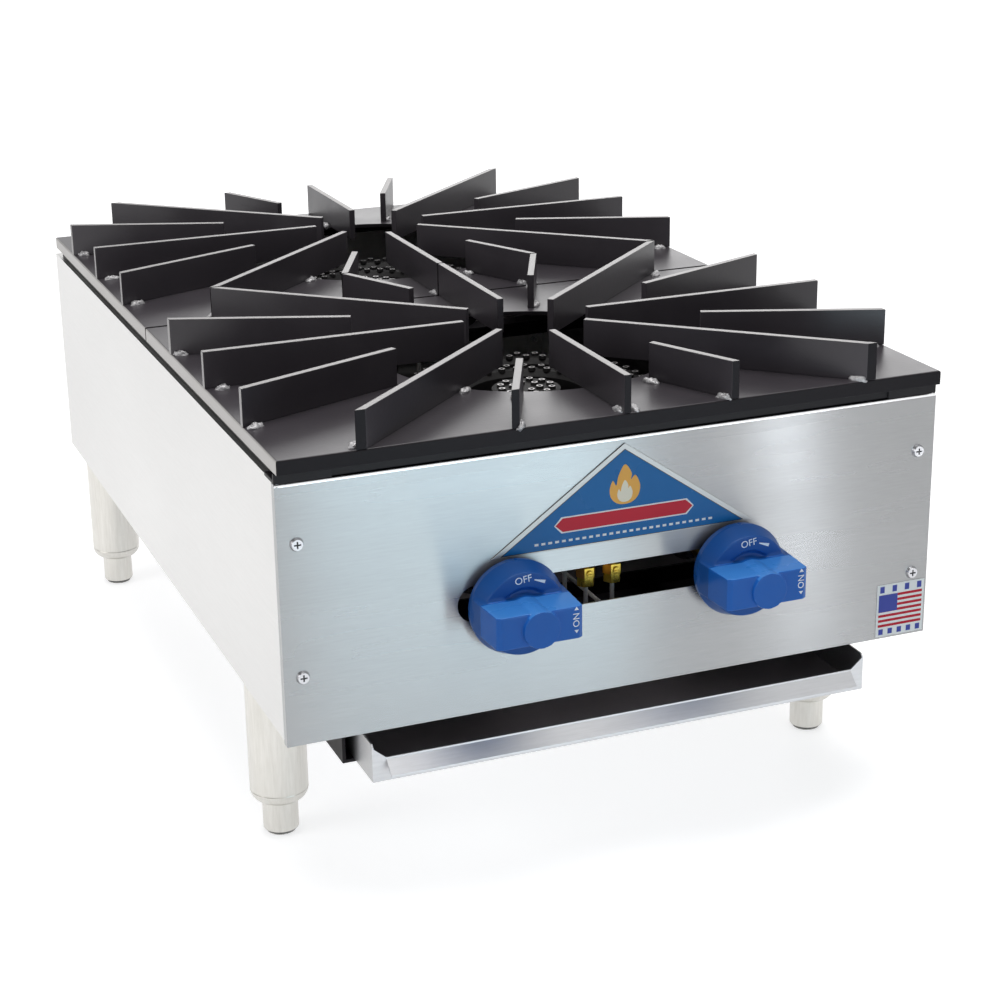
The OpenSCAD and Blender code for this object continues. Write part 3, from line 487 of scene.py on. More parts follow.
def deselectAll():
    if bpy.context.object and bpy.context.object.mode != "OBJECT":
        bpy.ops.object.mode_set(mode="OBJECT")
    bpy.ops.object.select_all(action="DESELECT")


def makeActive(piece):
    deselectAll()
    piece.select_set(True)
    bpy.context.view_layer.objects.active = piece


def bevelEdges(piece, width):
    makeActive(piece)
    bevel = piece.modifiers.new("roundedEdges", "BEVEL")
    bevel.width = width
    bevel.segments = edgeWork["bevelSegments"]
    bevel.limit_method = "ANGLE"
    bevel.angle_limit = math.radians(edgeWork["bevelOver"])
    bpy.ops.object.modifier_apply(modifier=bevel.name)
    bpy.ops.object.shade_smooth_by_angle(angle=math.radians(edgeWork["smoothUnder"]))
    flat = piece.modifiers.new("flatFaces", "WEIGHTED_NORMAL")
    flat.weight = edgeWork["flatWeight"]
    flat.keep_sharp = True
    bpy.ops.object.modifier_apply(modifier=flat.name)


def bodyOf(node):
    return frame["nodes"][node]["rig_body"]


def mergedCopy(node, name):
    # a frame's mesh is loose triangles, so a copy of it is merged first
    makeActive(frame["nodes"][node])
    bpy.ops.object.duplicate()
    piece = bpy.context.object
    piece.parent = None
    piece.name = name
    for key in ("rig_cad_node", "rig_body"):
        if key in piece:
            del piece[key]
    bpy.ops.object.mode_set(mode="EDIT")
    bpy.ops.mesh.select_all(action="SELECT")
    bpy.ops.mesh.remove_doubles(threshold=edgeWork["mergeReach"])
    bpy.ops.mesh.dissolve_limited(angle_limit=math.radians(edgeWork["flatWithin"]))
    bpy.ops.object.mode_set(mode="OBJECT")
    piece.data.materials.clear()
    return piece


def goWith(piece, node):
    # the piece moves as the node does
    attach(piece, bodyOf(node))


def standFor(piece, node):
    goWith(piece, node)
    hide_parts(node)


def dressedCopy(node, finish, width):
    piece = mergedCopy(node, node + "_dressed")
    if node in shapers:
        shapers[node](piece, node)
    piece.data.materials.append(finishes[finish])
    bevelEdges(piece, width)
    standFor(piece, node)
    return piece


def settle(piece):
    # the place goes into the mesh
    makeActive(piece)
    bpy.ops.object.transform_apply(location=True, rotation=True, scale=True)


def joinPieces(pieces, name):
    deselectAll()
    for piece in pieces:
        piece.select_set(True)
    bpy.context.view_layer.objects.active = pieces[0]
    bpy.ops.object.join()
    joined = bpy.context.object
    joined.name = name
    settle(joined)
    return joined


def cutWith(piece, cutter, operation="DIFFERENCE"):
    makeActive(piece)
    cut = piece.modifiers.new("cut", "BOOLEAN")
    cut.operation = operation
    cut.object = cutter
    cut.solver = "EXACT"
    bpy.ops.object.modifier_apply(modifier=cut.name)
    bpy.data.objects.remove(cutter)


grates = ("front_grate", "rear_grate")
legPlaces = ("front_left", "front_right", "rear_left", "rear_right")

dressing = [  # the finish, how wide the rounded edges are in mm, and the nodes
    ("shadedFrontSteel", 0.4, ["front_panel"]),
    ("sideSteel", 0.4, ["left_side_panel", "right_side_panel", "back_panel"]),
    ("blackFrame", 0.5, [
        "front_top_rail", "rear_top_rail", "left_top_rail", "right_top_rail", "front_cross_member",
        "rear_cross_member",
    ]),
    ("blackFrame", 0.4, ["front_burner_bars", "rear_burner_bars"]),
    ("grateCoat", 0.25, ["front_grate_plate", "rear_grate_plate"]),
    ("grateCoat", 0.35, ["front_grate_fins", "rear_grate_fins"]),
    ("castIron", 1.2, ["front_burner", "rear_burner"]),
    ("plating", 0.3, ["front_air_shutter", "rear_air_shutter"]),
    ("blackPipe", 0.3, ["manifold_pipe"]),
    ("blackPipe", 0.8, ["manifold_cap", "manifold_elbow"]),
    ("blackPipe", 0.3, ["supply_pipe"]),
    ("blackFrame", 0.4, ["manifold_brackets"]),
    ("brassParts", 0.4, ["left_gas_valve", "right_gas_valve"]),
    ("brassParts", 0.3, ["left_orifice_hood", "right_orifice_hood"]),
    ("brassParts", 0.4, ["left_pilot_valve", "right_pilot_valve"]),
    ("brassParts", 0.2, ["left_pilot_screw", "right_pilot_screw"]),
    ("brassParts", 0.4, ["pilot_nuts"]),
    ("plating", 0.3, ["front_pilot_tip", "rear_pilot_tip"]),
    ("traySteel", 0.35, ["drip_tray"]),
    ("blackFrame", 0.4, ["left_tray_runner", "right_tray_runner"]),
    ("plating", 0.4, ["leg_plates"]),
    ("plating", 0.3, ["leg_bolts"]),
    ("plating", 0.25, ["front_panel_screws", "back_panel_screws"]),
    ("badgeSilver", 0.3, ["badge_plate"]),
    ("labelWhite", 0.1, ["label_plate"]),
]
for place in legPlaces:
    dressing.append(("legSteel", 0.4, [place + "_leg"]))
    dressing.append(("legSteel", 0.5, [place + "_foot"]))

keptNodes = {  # these stay, because their own shape is right
    "left_valve_stem": "brassParts", "right_valve_stem": "brassParts",
    "front_pilot_tube": "pilotTubing", "rear_pilot_tube": "pilotTubing",
}

# what is shaped on a copy before its edges are rounded
shaping = {
    "plateBend": 3.0 * mm,  # the bend that the frame's plates have
    "tightBend": 1.3 * mm,
    "onBend": 0.02 * mm,
    "panelBend": 1.9 * mm,
    "panelBendSegments": 5,
    "onPanelEdge": 0.1 * mm,
    "gapHalf": 192 * mm,
    "gapDepth": 1.6 * mm,
    "gapSpare": 2 * mm,
    "shoulder": 33 * mm,
    "legRadius": 20 * mm,
    "legGroove": 0.45 * mm,
    "grooveOut": 0.1 * mm,
    "grooveSegments": (64, 8),
}


def tightenBend(piece, node):
    # the plate's bends at its sides and front are drawn in to a smaller radius
    low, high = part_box(node)
    old, new = shaping["plateBend"], shaping["tightBend"]
    for v in piece.data.vertices:
        up = (v.co.z - (high[2] - old)) / old
        if up < 0:
            continue
        angle = math.asin(min(1.0, up))
        reach = new * (1 - math.cos(angle))
        for axis, edge, sign in ((0, low[0], 1), (0, high[0], -1), (1, low[1], 1)):
            onArc = (v.co[axis] - edge) * sign
            if onArc <= old * (1 - math.cos(angle)) + shaping["onBend"]:
                v.co[axis] = edge + sign * reach
        v.co.z = high[2] - new + new * math.sin(angle)


def bendPanelTop(piece, node):
    # the panel's upper front edge is a soft bend that catches the light
    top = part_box(node)[1][2]
    makeActive(piece)
    bpy.ops.object.mode_set(mode="EDIT")
    bpy.ops.mesh.select_mode(type="EDGE")
    bpy.ops.mesh.select_all(action="DESELECT")
    bpy.ops.object.mode_set(mode="OBJECT")
    frontY = min(v.co.y for v in piece.data.vertices)
    near = shaping["onPanelEdge"]
    for edge in piece.data.edges:
        ends = [piece.data.vertices[i].co for i in edge.vertices]
        edge.select = all(c.z > top - near and c.y < frontY + near for c in ends)
    bpy.ops.object.mode_set(mode="EDIT")
    bpy.ops.mesh.bevel(offset=shaping["panelBend"], segments=shaping["panelBendSegments"], affect="EDGES")
    bpy.ops.object.mode_set(mode="OBJECT")


def sinkRailMiddle(piece, node):
    # between its two ends the rail stands back, and a dark gap shows over the panel
    low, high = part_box(node)
    deselectAll()
    bpy.ops.mesh.primitive_cube_add(size=1, location=(0, low[1], (low[2] + high[2]) / 2))
    cutter = bpy.context.object
    tall = high[2] - low[2] + shaping["gapSpare"]
    cutter.scale = (2 * shaping["gapHalf"], 2 * shaping["gapDepth"], tall)
    settle(cutter)
    cutWith(piece, cutter)


def grooveLeg(piece, node):
    # a fine line where the leg's rounded shoulder starts
    low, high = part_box(node)
    deselectAll()
    bpy.ops.mesh.primitive_torus_add(
        location=((low[0] + high[0]) / 2, (low[1] + high[1]) / 2, shaping["shoulder"]),
        major_radius=shaping["legRadius"] + shaping["grooveOut"], minor_radius=shaping["legGroove"],
        major_segments=shaping["grooveSegments"][0], minor_segments=shaping["grooveSegments"][1],
    )
    cutWith(piece, bpy.context.object)


shapers = {"front_panel": bendPanelTop, "front_top_rail": sinkRailMiddle}
for grate in grates:
    shapers[grate + "_plate"] = tightenBend
for place in legPlaces:
    shapers[place + "_leg"] = grooveLeg

dressed = {}
for finish, width, nodes in dressing:
    for node in nodes:
        dressed[node] = dressedCopy(node, finish, width * mm)
for node, finish in keptNodes.items():
    frame["nodes"][node].data.materials.clear()
    frame["nodes"][node].data.materials.append(finishes[finish])
print("dressed copies made,", len(dressed))


# places on a piece that have a second finish

painted = {
    "trayFloor": 3 * mm,  # how far in from the tray's box, and at its front
    "trayLip": 14 * mm,
    "plateSide": 224 * mm,  # how far out from the middle
    "recess": (0.4 * mm, 1.9 * mm),  # the cross in a screw's head, deeper than its rim
    "finTop": 0.5 * mm,  # how far down from the fins' top
    "finEnd": 212 * mm,
    "finEndDepth": 20 * mm,
    "plateFront": 1 * mm,
    "panelTop": 2 * shaping["panelBend"],
    "footUnderside": 3 * mm,
}


def paintFaces(piece, finish, wanted):
    # wanted is asked about each face's centre and the way it points
    piece.data.materials.append(finishes[finish])
    index = len(piece.data.materials) - 1
    for face in piece.data.polygons:
        if wanted(face.center, face.normal):
            face.material_index = index


trayLow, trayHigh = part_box("drip_tray")
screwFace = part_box("front_panel_screws")[0][1]
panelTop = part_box("front_panel")[1][2] - painted["panelTop"]
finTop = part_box("front_grate_fins")[1][2] - painted["finTop"]


# the tray's inside floor, front and back are a duller, darker copy of its steel: painted shade
def inShadedTray(c, n):
    floor = n.z > 0.7 and c.z < trayLow[2] + painted["trayFloor"]
    front = n.y > 0.7 and c.y < trayLow[1] + painted["trayLip"]
    back = n.y < -0.7 and c.y > trayHigh[1] - painted["trayFloor"]
    return floor or front or back


def inRecess(c, n):
    near, far = painted["recess"]
    return screwFace + near < c.y < screwFace + far and abs(n.y) > 0.9


# the plate's outer side faces are painted a lighter metallic grey: painted highlight
def onLitPlateSide(c, n):
    return abs(n.x) > 0.55 and abs(c.x) > painted["plateSide"]


def onLitFinEdge(c, n):
    # the top edges of the fins, and their ends at the sides, are painted a lighter grey: painted highlight
    top = n.z > 0.9 and c.z > finTop
    side = abs(n.x) > 0.55 and abs(n.z) < 0.1 and abs(c.x) > painted["finEnd"]
    return top or (side and c.z > finTop - painted["finEndDepth"])


# the upward faces of the panel's top bend are painted near-white steel: painted highlight
def onLitPanelBend(c, n):
    return n.z > 0.15 and abs(n.x) < 0.5 and c.z > panelTop


paintFaces(dressed["drip_tray"], "trayInsideShade", inShadedTray)
# the cross recesses in the screw heads are painted dark: painted shade
paintFaces(dressed["front_panel_screws"], "recessShade", inRecess)
# the badge plate's thin side faces are painted black: painted shade
paintFaces(dressed["badge_plate"], "blackPrintAndShade", lambda c, n: abs(n.y) < 0.3)
for grate in grates:
    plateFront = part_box(grate + "_plate")[0][1] + painted["plateFront"]
    paintFaces(dressed[grate + "_plate"], "plateSideHighlight", onLitPlateSide)
    # the plate's front-facing faces are a darker copy of the grate's coat: painted shade
    paintFaces(dressed[grate + "_plate"], "frontFaceShade", lambda c, n: n.y < -0.6)
    paintFaces(dressed[grate + "_fins"], "finEdgeHighlight", onLitFinEdge)
    # the fins' front ends get the same darker coat: painted shade
    paintFaces(dressed[grate + "_fins"], "frontFaceShade", lambda c, n: n.y < -0.9 and c.y < plateFront)
# the pilot valves' left-facing faces are painted a darker, more orange brass: painted shade
for valve in ("left_pilot_valve", "right_pilot_valve"):
    paintFaces(dressed[valve], "brassShadedSide", lambda c, n: n.x < -0.4)
paintFaces(dressed["front_panel"], "panelBendHighlight", onLitPanelBend)
# the underside of each foot is painted a dark grey
for place in legPlaces:
    paintFaces(dressed[place + "_foot"], "footUnderside", lambda c, n: n.z < -0.3 and c.z < painted["footUnderside"])
print("second finishes painted")

# knobs: moulded fillets, a groove round the boss, and white marks

knobShape = {
    "axisHeight": 189 * mm,
    "panelFace": -319.5 * mm,
    "face": 23 * mm,  # this and the other fronts are distances out from the panel
    "gripFront": 48.9 * mm,
    "gripHalf": 10.75 * mm,
    "skirtRadius": 31.5 * mm,
    "skirtDepth": 13 * mm,
    "skirtInside": 0.02 * mm,
    "wideFace": 27.3 * mm,
    "bossRadius": 12.1 * mm,
    "bossFront": 52 * mm,
    "bossRoot": 4 * mm,
    "roundSides": 96,
    "grooveRadius": 15.0 * mm,
    "grooveSize": 2.5 * mm,
    "grooveSegments": (72, 16),
    "voxel": 0.5 * mm,
    "filletReach": 3.0 * mm,
    "smoothShare": 0.5,  # how much each step smooths
    "filletSteps": 50,
    "softenSteps": 3,
    "litGripFrom": 2 * mm,  # where the painted light on the grip and the painted shade on the skirt begin and end
    "litGripPastBoss": 1 * mm,
    "shadedSkirtPastFace": 0.6 * mm,
    "shadedSkirtPastGrip": 1.5 * mm,
}


def facePlane(spec, r):
    # the skirt's front at a distance r from the axis, measured out from the panel
    over = max(0.0, r - spec["wideFace"]) / (spec["skirtRadius"] - spec["wideFace"])
    return spec["face"] - over * spec["skirtDepth"]


def knobGroove(spec, axisX, side):
    # half of the groove round the boss, on one side of the grip
    place = (axisX, spec["panelFace"] - spec["face"], spec["axisHeight"])
    deselectAll()
    bpy.ops.mesh.primitive_torus_add(
        location=place, rotation=(math.pi / 2, 0, 0), major_radius=spec["grooveRadius"],
        minor_radius=spec["grooveSize"], major_segments=spec["grooveSegments"][0],
        minor_segments=spec["grooveSegments"][1],
    )
    groove = bpy.context.object
    settle(groove)
    bpy.ops.object.mode_set(mode="EDIT")
    bpy.ops.mesh.select_all(action="SELECT")
    bpy.ops.mesh.bisect(
        plane_co=(axisX, place[1], place[2] + side * spec["gripHalf"]), plane_no=(0, 0, -side),
        use_fill=True, clear_outer=True,
    )
    bpy.ops.object.mode_set(mode="OBJECT")
    return groove


def addBossAndRim(spec, piece, axisX):
    bossLength = spec["bossFront"] - spec["face"] + spec["bossRoot"]
    deselectAll()
    bpy.ops.mesh.primitive_cylinder_add(
        vertices=spec["roundSides"], radius=spec["bossRadius"], depth=bossLength,
        rotation=(math.pi / 2, 0, 0),
        location=(axisX, spec["panelFace"] - spec["bossFront"] + bossLength / 2, spec["axisHeight"]),
    )
    boss = bpy.context.object
    settle(boss)
    cutWith(piece, boss, "UNION")
    deselectAll()
    bpy.ops.mesh.primitive_cone_add(
        vertices=spec["roundSides"], radius1=spec["skirtRadius"] - spec["skirtInside"],
        radius2=spec["wideFace"], depth=spec["skirtDepth"], rotation=(math.pi / 2, 0, 0),
        location=(axisX, spec["panelFace"] - spec["face"] + spec["skirtDepth"] / 2, spec["axisHeight"]),
    )
    rim = bpy.context.object
    settle(rim)
    cutWith(piece, rim, "UNION")


def roundFillets(spec, piece, axisX):
    # the grip's foot is smoothed where it meets the skirt, then the whole knob a little
    bpy.ops.object.mode_set(mode="EDIT")
    bpy.ops.mesh.select_mode(type="VERT")
    bpy.ops.mesh.select_all(action="DESELECT")
    bpy.ops.object.mode_set(mode="OBJECT")
    reach = spec["filletReach"]
    for v in piece.data.vertices:
        depth = spec["panelFace"] - v.co.y
        rise = abs(v.co.z - spec["axisHeight"])
        r = math.hypot(v.co.x - axisX, rise)
        v.select = abs(rise - spec["gripHalf"]) < reach and abs(depth - facePlane(spec, r)) < reach
    bpy.ops.object.mode_set(mode="EDIT")
    bpy.ops.mesh.vertices_smooth(factor=spec["smoothShare"], repeat=spec["filletSteps"])
    bpy.ops.mesh.select_all(action="SELECT")
    bpy.ops.mesh.vertices_smooth(factor=spec["smoothShare"], repeat=spec["softenSteps"])
    bpy.ops.object.mode_set(mode="OBJECT")
    bpy.ops.object.shade_smooth()


def makeKnob(spec, node):
    piece = mergedCopy(node, node + "_moulded")
    low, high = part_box(node)
    axisX = (low[0] + high[0]) / 2
    for v in piece.data.vertices:
        v.co.y = max(v.co.y, spec["panelFace"] - spec["gripFront"])
    addBossAndRim(spec, piece, axisX)
    for side in (1, -1):
        cutWith(piece, knobGroove(spec, axisX, side))
    makeActive(piece)
    remesh = piece.modifiers.new("skin", "REMESH")
    remesh.mode = "VOXEL"
    remesh.voxel_size = spec["voxel"]
    bpy.ops.object.modifier_apply(modifier=remesh.name)
    roundFillets(spec, piece, axisX)
    piece.data.materials.append(finishes["knobBlue"])

    def onLitGripSide(c, n):
        # the grip's faces above and below the boss are painted a lighter blue: painted light
        depth = spec["panelFace"] - c.y
        rise = abs(c.z - spec["axisHeight"])
        beside = abs(n.z) > 0.72 and rise < spec["bossRadius"] + spec["litGripPastBoss"]
        return beside and depth > spec["face"] + spec["litGripFrom"]

    # the skirt and the face beside the grip are painted a darker blue: painted shade
    def onShadedSkirt(c, n):
        depth = spec["panelFace"] - c.y
        rise = abs(c.z - spec["axisHeight"])
        r = math.hypot(c.x - axisX, rise)
        low = depth < spec["face"] + spec["shadedSkirtPastFace"] and r > spec["bossRadius"]
        return low and (n.y > -0.95 or rise > spec["gripHalf"] + spec["shadedSkirtPastGrip"])

    paintFaces(piece, "knobLitGrip", onLitGripSide)
    paintFaces(piece, "knobShadedSkirt", onShadedSkirt)
    standFor(piece, node)
    makeKnobMarks(spec, markShape, node, axisX)


markShape = {
    "thickness": 0.3 * mm,
    "sunk": 0.15 * mm,
    "offSize": 6.6 * mm,
    "offPlace": (-0.6 * mm, 22.6 * mm),
    "offTurn": 8,
    "taperPlace": (10.4 * mm, 20.6 * mm),
    "taperLength": 7.4 * mm,
    "taperHeight": 2.2 * mm,
    "taperTip": 0.3,  # how tall it is at its tip, as a share
    "taperTurn": -18,
    "onSize": 6.0 * mm,
    "onPlace": (23.8 * mm, 1.8 * mm),
    "onTurn": 90,
    "arrowSize": 1.5 * mm,
    "arrowReach": 2.1 * mm,
    "arrowSpread": 6.6 * mm,
}


def flatText(words, size, thickness, turn):
    # upright letters that face the front, as a mesh
    deselectAll()
    bpy.ops.object.text_add()
    letters = bpy.context.object
    letters.data.body = words
    letters.data.size = size
    letters.data.align_x = "CENTER"
    letters.data.align_y = "CENTER"
    letters.data.extrude = thickness / 2
    letters.data.resolution_u = 4
    bpy.ops.object.convert(target="MESH")
    letters = bpy.context.object
    letters.rotation_euler = (0, 0, turn)
    settle(letters)
    letters.rotation_euler = (math.pi / 2, 0, 0)
    settle(letters)
    return letters


def flatShape(corners, thickness):
    # a flat outline in the front plane, given by its corners, with a thickness
    deselectAll()
    bpy.ops.mesh.primitive_circle_add(
        vertices=len(corners), radius=1, fill_type="NGON", rotation=(math.pi / 2, 0, 0)
    )
    shape = bpy.context.object
    settle(shape)
    for v, (x, z) in zip(shape.data.vertices, corners):
        v.co = (x, 0, z)
    bpy.ops.object.mode_set(mode="EDIT")
    bpy.ops.mesh.select_all(action="SELECT")
    bpy.ops.mesh.extrude_region_move(TRANSFORM_OT_translate={"value": (0, -thickness, 0)})
    bpy.ops.mesh.select_all(action="SELECT")
    bpy.ops.mesh.normals_make_consistent(inside=False)
    bpy.ops.object.mode_set(mode="OBJECT")
    return shape


def turned(points, degrees):
    c, s = math.cos(math.radians(degrees)), math.sin(math.radians(degrees))
    return [(x * c - z * s, x * s + z * c) for x, z in points]


def makeKnobMarks(knob, spec, node, axisX):
    thick = spec["thickness"]
    faceY = knob["panelFace"] - knob["face"] + spec["sunk"]
    gripY = knob["panelFace"] - knob["gripFront"] + spec["sunk"]
    marks = []

    def putMark(mark, place, y, up=0.0):
        mark.location = (axisX + place[0], y, knob["axisHeight"] + place[1] + up)
        marks.append(mark)

    off = flatText("OFF", spec["offSize"], thick, math.radians(spec["offTurn"]))
    putMark(off, spec["offPlace"], faceY - thick / 2)
    half, tall, tip = spec["taperLength"] / 2, spec["taperHeight"] / 2, spec["taperTip"]
    outline = [(-half, -tall * tip), (half, -tall), (half, tall), (-half, tall * tip)]
    putMark(flatShape(turned(outline, spec["taperTurn"]), thick), spec["taperPlace"], faceY)
    on = flatText("ON", spec["onSize"], thick, math.radians(spec["onTurn"]))
    putMark(on, spec["onPlace"], gripY - thick / 2)
    size, reach = spec["arrowSize"], spec["arrowReach"]
    for way in (1, -1):
        head = flatShape([(-size, 0), (size, 0), (0, way * reach)], thick)
        putMark(head, spec["onPlace"], gripY, way * spec["arrowSpread"])
    piece = joinPieces(marks, node + "_marks")
    piece.data.materials.clear()
    piece.data.materials.append(finishes["markWhite"])
    goWith(piece, node)


for node in ("left_knob", "right_knob"):
    makeKnob(knobShape, node)
print("knobs moulded and marked")

# grates: lumpy weld beads at both sides of each fin, near its two ends

weldBead = {
    "length": 11.5 * mm,
    "lengthRange": (0.85, 0.3),  # the least share of it, and what chance adds at most
    "width": 6.2 * mm,
    "height": 2.9 * mm,
    "segments": (20, 12),
    "lumps": 1.5 * mm,
    "lumpScales": (520, 1300),  # coarse and fine lumps
    "fineLumps": 0.4,
    "lumpShift": 3.7,  # from one bead's pattern to the next
    "inFromEnd": 8.0 * mm,
    "inRange": (0.8, 0.6),
    "skipEvery": 5,
    "openingRadius": 103 * mm,
    "openings": {"front_grate": (0, -159 * mm), "rear_grate": (0, 174 * mm)},
    "seeds": {"front_grate": 11, "rear_grate": 12},
    "fromOpening": 6.0 * mm,
    "footStep": 1 * mm,
    "onPlate": 1 * mm,  # a fin's corners this near the plate's top are its foot
}


def finFeet(spec, node, plateTop):
    # where each fin stands on its plate: the middle of its foot, the way it points, and its half sizes
    mesh = frame["nodes"][node].data
    island = list(range(len(mesh.vertices)))

    def root(i):
        while island[i] != i:
            i = island[i]
        return i

    samePlace = {}
    for v in mesh.vertices:
        key = tuple(round(c / edgeWork["mergeReach"]) for c in v.co)
        island[root(v.index)] = root(samePlace.setdefault(key, v.index))
    for edge in mesh.edges:
        a, b = edge.vertices
        island[root(a)] = root(b)
    fins = {}
    for v in mesh.vertices:
        fins.setdefault(root(v.index), []).append(v.co)
    feet = []
    for fin in fins.values():
        foot = [Vector((c.x, c.y)) for c in fin if c.z < plateTop + spec["onPlate"]]
        start, end = max(((a, b) for a in foot for b in foot), key=lambda pair: (pair[0] - pair[1]).length)
        middle = sum(foot, Vector((0, 0))) / len(foot)
        along = (end - start).normalized()
        half = max(abs((c - middle).dot(along)) for c in foot)
        across = Vector((-along.y, along.x))
        side = max(abs((c - middle).dot(across)) for c in foot)
        feet.append({"middle": middle, "along": along, "half": half, "across": across, "side": side})
    return sorted(feet, key=lambda f: (round(f["middle"].x, 4), round(f["middle"].y, 4)))


def addWeld(spec, x, y, z, turn, seed):
    segments, rings = spec["segments"]
    bpy.ops.mesh.primitive_uv_sphere_add(segments=segments, ring_count=rings, radius=0.5)
    bead = bpy.context.object
    least, more = spec["lengthRange"]
    bead.scale = (spec["length"] * (least + more * noise.random()), spec["width"], spec["height"] * 2)
    bead.rotation_euler = (0, 0, turn)
    bead.location = (x, y, z)
    settle(bead)
    coarse, fine = spec["lumpScales"]
    apart = Vector((seed * spec["lumpShift"], 0, 0))
    for v in bead.data.vertices:
        lump = noise.noise(v.co * coarse + apart) + spec["fineLumps"] * noise.noise(v.co * fine)
        v.co += v.normal * lump * spec["lumps"]
    return bead


def weldFoot(spec, fin, end, inFrom, centre):
    # near a fin's end, or where the fin leaves the plate over the opening
    reach = fin["half"] - inFrom
    while reach > 0:
        place = fin["middle"] + fin["along"] * end * reach
        if (place - centre).length > spec["openingRadius"] + spec["fromOpening"]:
            break
        reach -= spec["footStep"]
    return fin["middle"] + fin["along"] * end * reach


def makeWelds(grate, spec):
    centre = Vector(spec["openings"][grate])
    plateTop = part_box(grate + "_plate")[1][2]
    noise.seed_set(spec["seeds"][grate])
    beads = []
    least, more = spec["inRange"]
    for count, fin in enumerate(finFeet(spec, grate + "_fins", plateTop)):
        for end in (-1, 1):
            for side in (-1, 1):
                if (count + end + side) % spec["skipEvery"] == 0:
                    continue
                inFrom = spec["inFromEnd"] * (least + more * noise.random())
                flat = weldFoot(spec, fin, end, inFrom, centre) + fin["across"] * side * fin["side"]
                turn = math.atan2(fin["along"].y, fin["along"].x)
                beads.append(addWeld(spec, flat.x, flat.y, plateTop, turn, len(beads)))
    welds = joinPieces(beads, grate + "_welds")
    makeActive(welds)
    bpy.ops.object.shade_smooth()
    welds.data.materials.append(finishes["weldBeads"])
    goWith(welds, grate + "_fins")


for grate in grates:
    makeWelds(grate, weldBead)
print("weld beads laid")

# burners: rows of raised ports on the rings and the hub

burnerPorts = {
    "rows": [  # radius in mm, how many, and how far the row is turned, as a share of a step
        (83.5, 40, 0.0), (77.0, 40, 0.5), (52.0, 26, 0.0), (45.5, 26, 0.5), (18.0, 12, 0.0), (9.5, 6, 0.5),
    ],
    "outer": 2.9 * mm,
    "inner": 1.3 * mm,
    "rise": 2.2 * mm,
    "taper": 0.82,
    "holeDepth": 0.8,  # as a share of the rise
    "rimFrom": 0.9,
    "sunk": 0.2 * mm,
    "sides": 10,
}


def addPort(spec):
    # one raised port: a short tapered boss with a sunken hole
    deselectAll()
    bpy.ops.mesh.primitive_circle_add(vertices=spec["sides"], radius=spec["outer"], fill_type="NGON")
    port = bpy.context.object
    bpy.ops.object.mode_set(mode="EDIT")
    bpy.ops.mesh.select_all(action="SELECT")
    bpy.ops.mesh.extrude_region_move(TRANSFORM_OT_translate={"value": (0, 0, spec["rise"])})
    taper = spec["taper"]
    bpy.ops.transform.resize(value=(taper, taper, 1), center_override=(0, 0, 0))
    bpy.ops.mesh.inset(thickness=spec["outer"] * taper - spec["inner"])
    depth = -spec["holeDepth"] * spec["rise"]
    bpy.ops.mesh.extrude_region_move(TRANSFORM_OT_translate={"value": (0, 0, depth)})
    bpy.ops.mesh.select_all(action="SELECT")
    bpy.ops.mesh.normals_make_consistent(inside=False)
    bpy.ops.object.mode_set(mode="OBJECT")
    port.data.materials.append(finishes["castIron"])
    port.data.materials.append(finishes["portRimHighlight"])
    # the ports' upward rim faces are painted a lighter grey: painted highlight
    for face in port.data.polygons:
        onRim = face.normal.z > 0.5 and face.center.z > spec["rimFrom"] * spec["rise"]
        face.material_index = 1 if onRim else 0
    return port


def makePorts(burner, spec):
    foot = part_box(burner)[1][2] - spec["sunk"]
    low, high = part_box(burner + "_bars")
    centreY = (low[1] + high[1]) / 2
    master = addPort(spec)
    copies = []
    for radius, count, shift in spec["rows"]:
        for k in range(count):
            angle = 2 * math.pi * (k + shift) / count
            across, along = radius * mm * math.cos(angle), radius * mm * math.sin(angle)
            makeActive(master)
            bpy.ops.object.duplicate()
            copies.append(bpy.context.object)
            copies[-1].location = (across, centreY + along, foot)
    bpy.data.objects.remove(master)
    goWith(joinPieces(copies, burner + "_ports"), burner)


for burner in ("front_burner", "rear_burner"):
    makePorts(burner, burnerPorts)
print("burner ports made")

# badge and label: a blue plate in a silver rim with a plain flame and band, and plain stripes and blocks

badgeArt = {
    "low": 219 * mm,
    "high": 283.5 * mm,
    "half": 92 * mm,
    "rim": 3.6 * mm,
    "line": 0.5 * mm,
    "baseRim": 1.3 * mm,
    "field": 0.15 * mm,  # how far each print stands out from what it lies on
    "lower": 0.6,  # the share of that for the lower prints, and for the lowest
    "lowest": 0.5,
    "flame": [
        (0, 26), (4.6, 20), (4.4, 15.5), (7.4, 18), (10.6, 11), (9.2, 4), (4, 0), (-4, 0), (-9.2, 4),
        (-10.6, 10), (-8.4, 16), (-6, 12.6), (-4.4, 19),
    ],
    "flameSteps": 5,  # on each stretch of its curve
    "flameBase": 243.5 * mm,
    "heart": (0.5, 0.55),  # the flame's pale middle, as shares of its width and height
    "heartRise": 1.2 * mm,
    "bandLow": 230.5 * mm,
    "bandHigh": 239.5 * mm,
    "bandHalf": 43 * mm,
    "bandTurn": 5 * mm,
    "outline": 0.9 * mm,
    "dashes": 27,
    "dashSize": (2.6 * mm, 1.5 * mm),
    "dashSpan": 122 * mm,
    "dashHeight": 223.6 * mm,
}


def insetTriangle(spec, rim, baseRim):
    # the badge's outline drawn in by rim at its slopes and baseRim at its foot
    rise = spec["high"] - spec["low"]
    slope = math.atan2(rise, spec["half"])
    half = spec["half"] * (1 - baseRim / rise) - rim / math.sin(slope)
    foot = spec["low"] + baseRim
    return [(-half, foot), (half, foot), (0, spec["high"] - rim / math.cos(slope))]


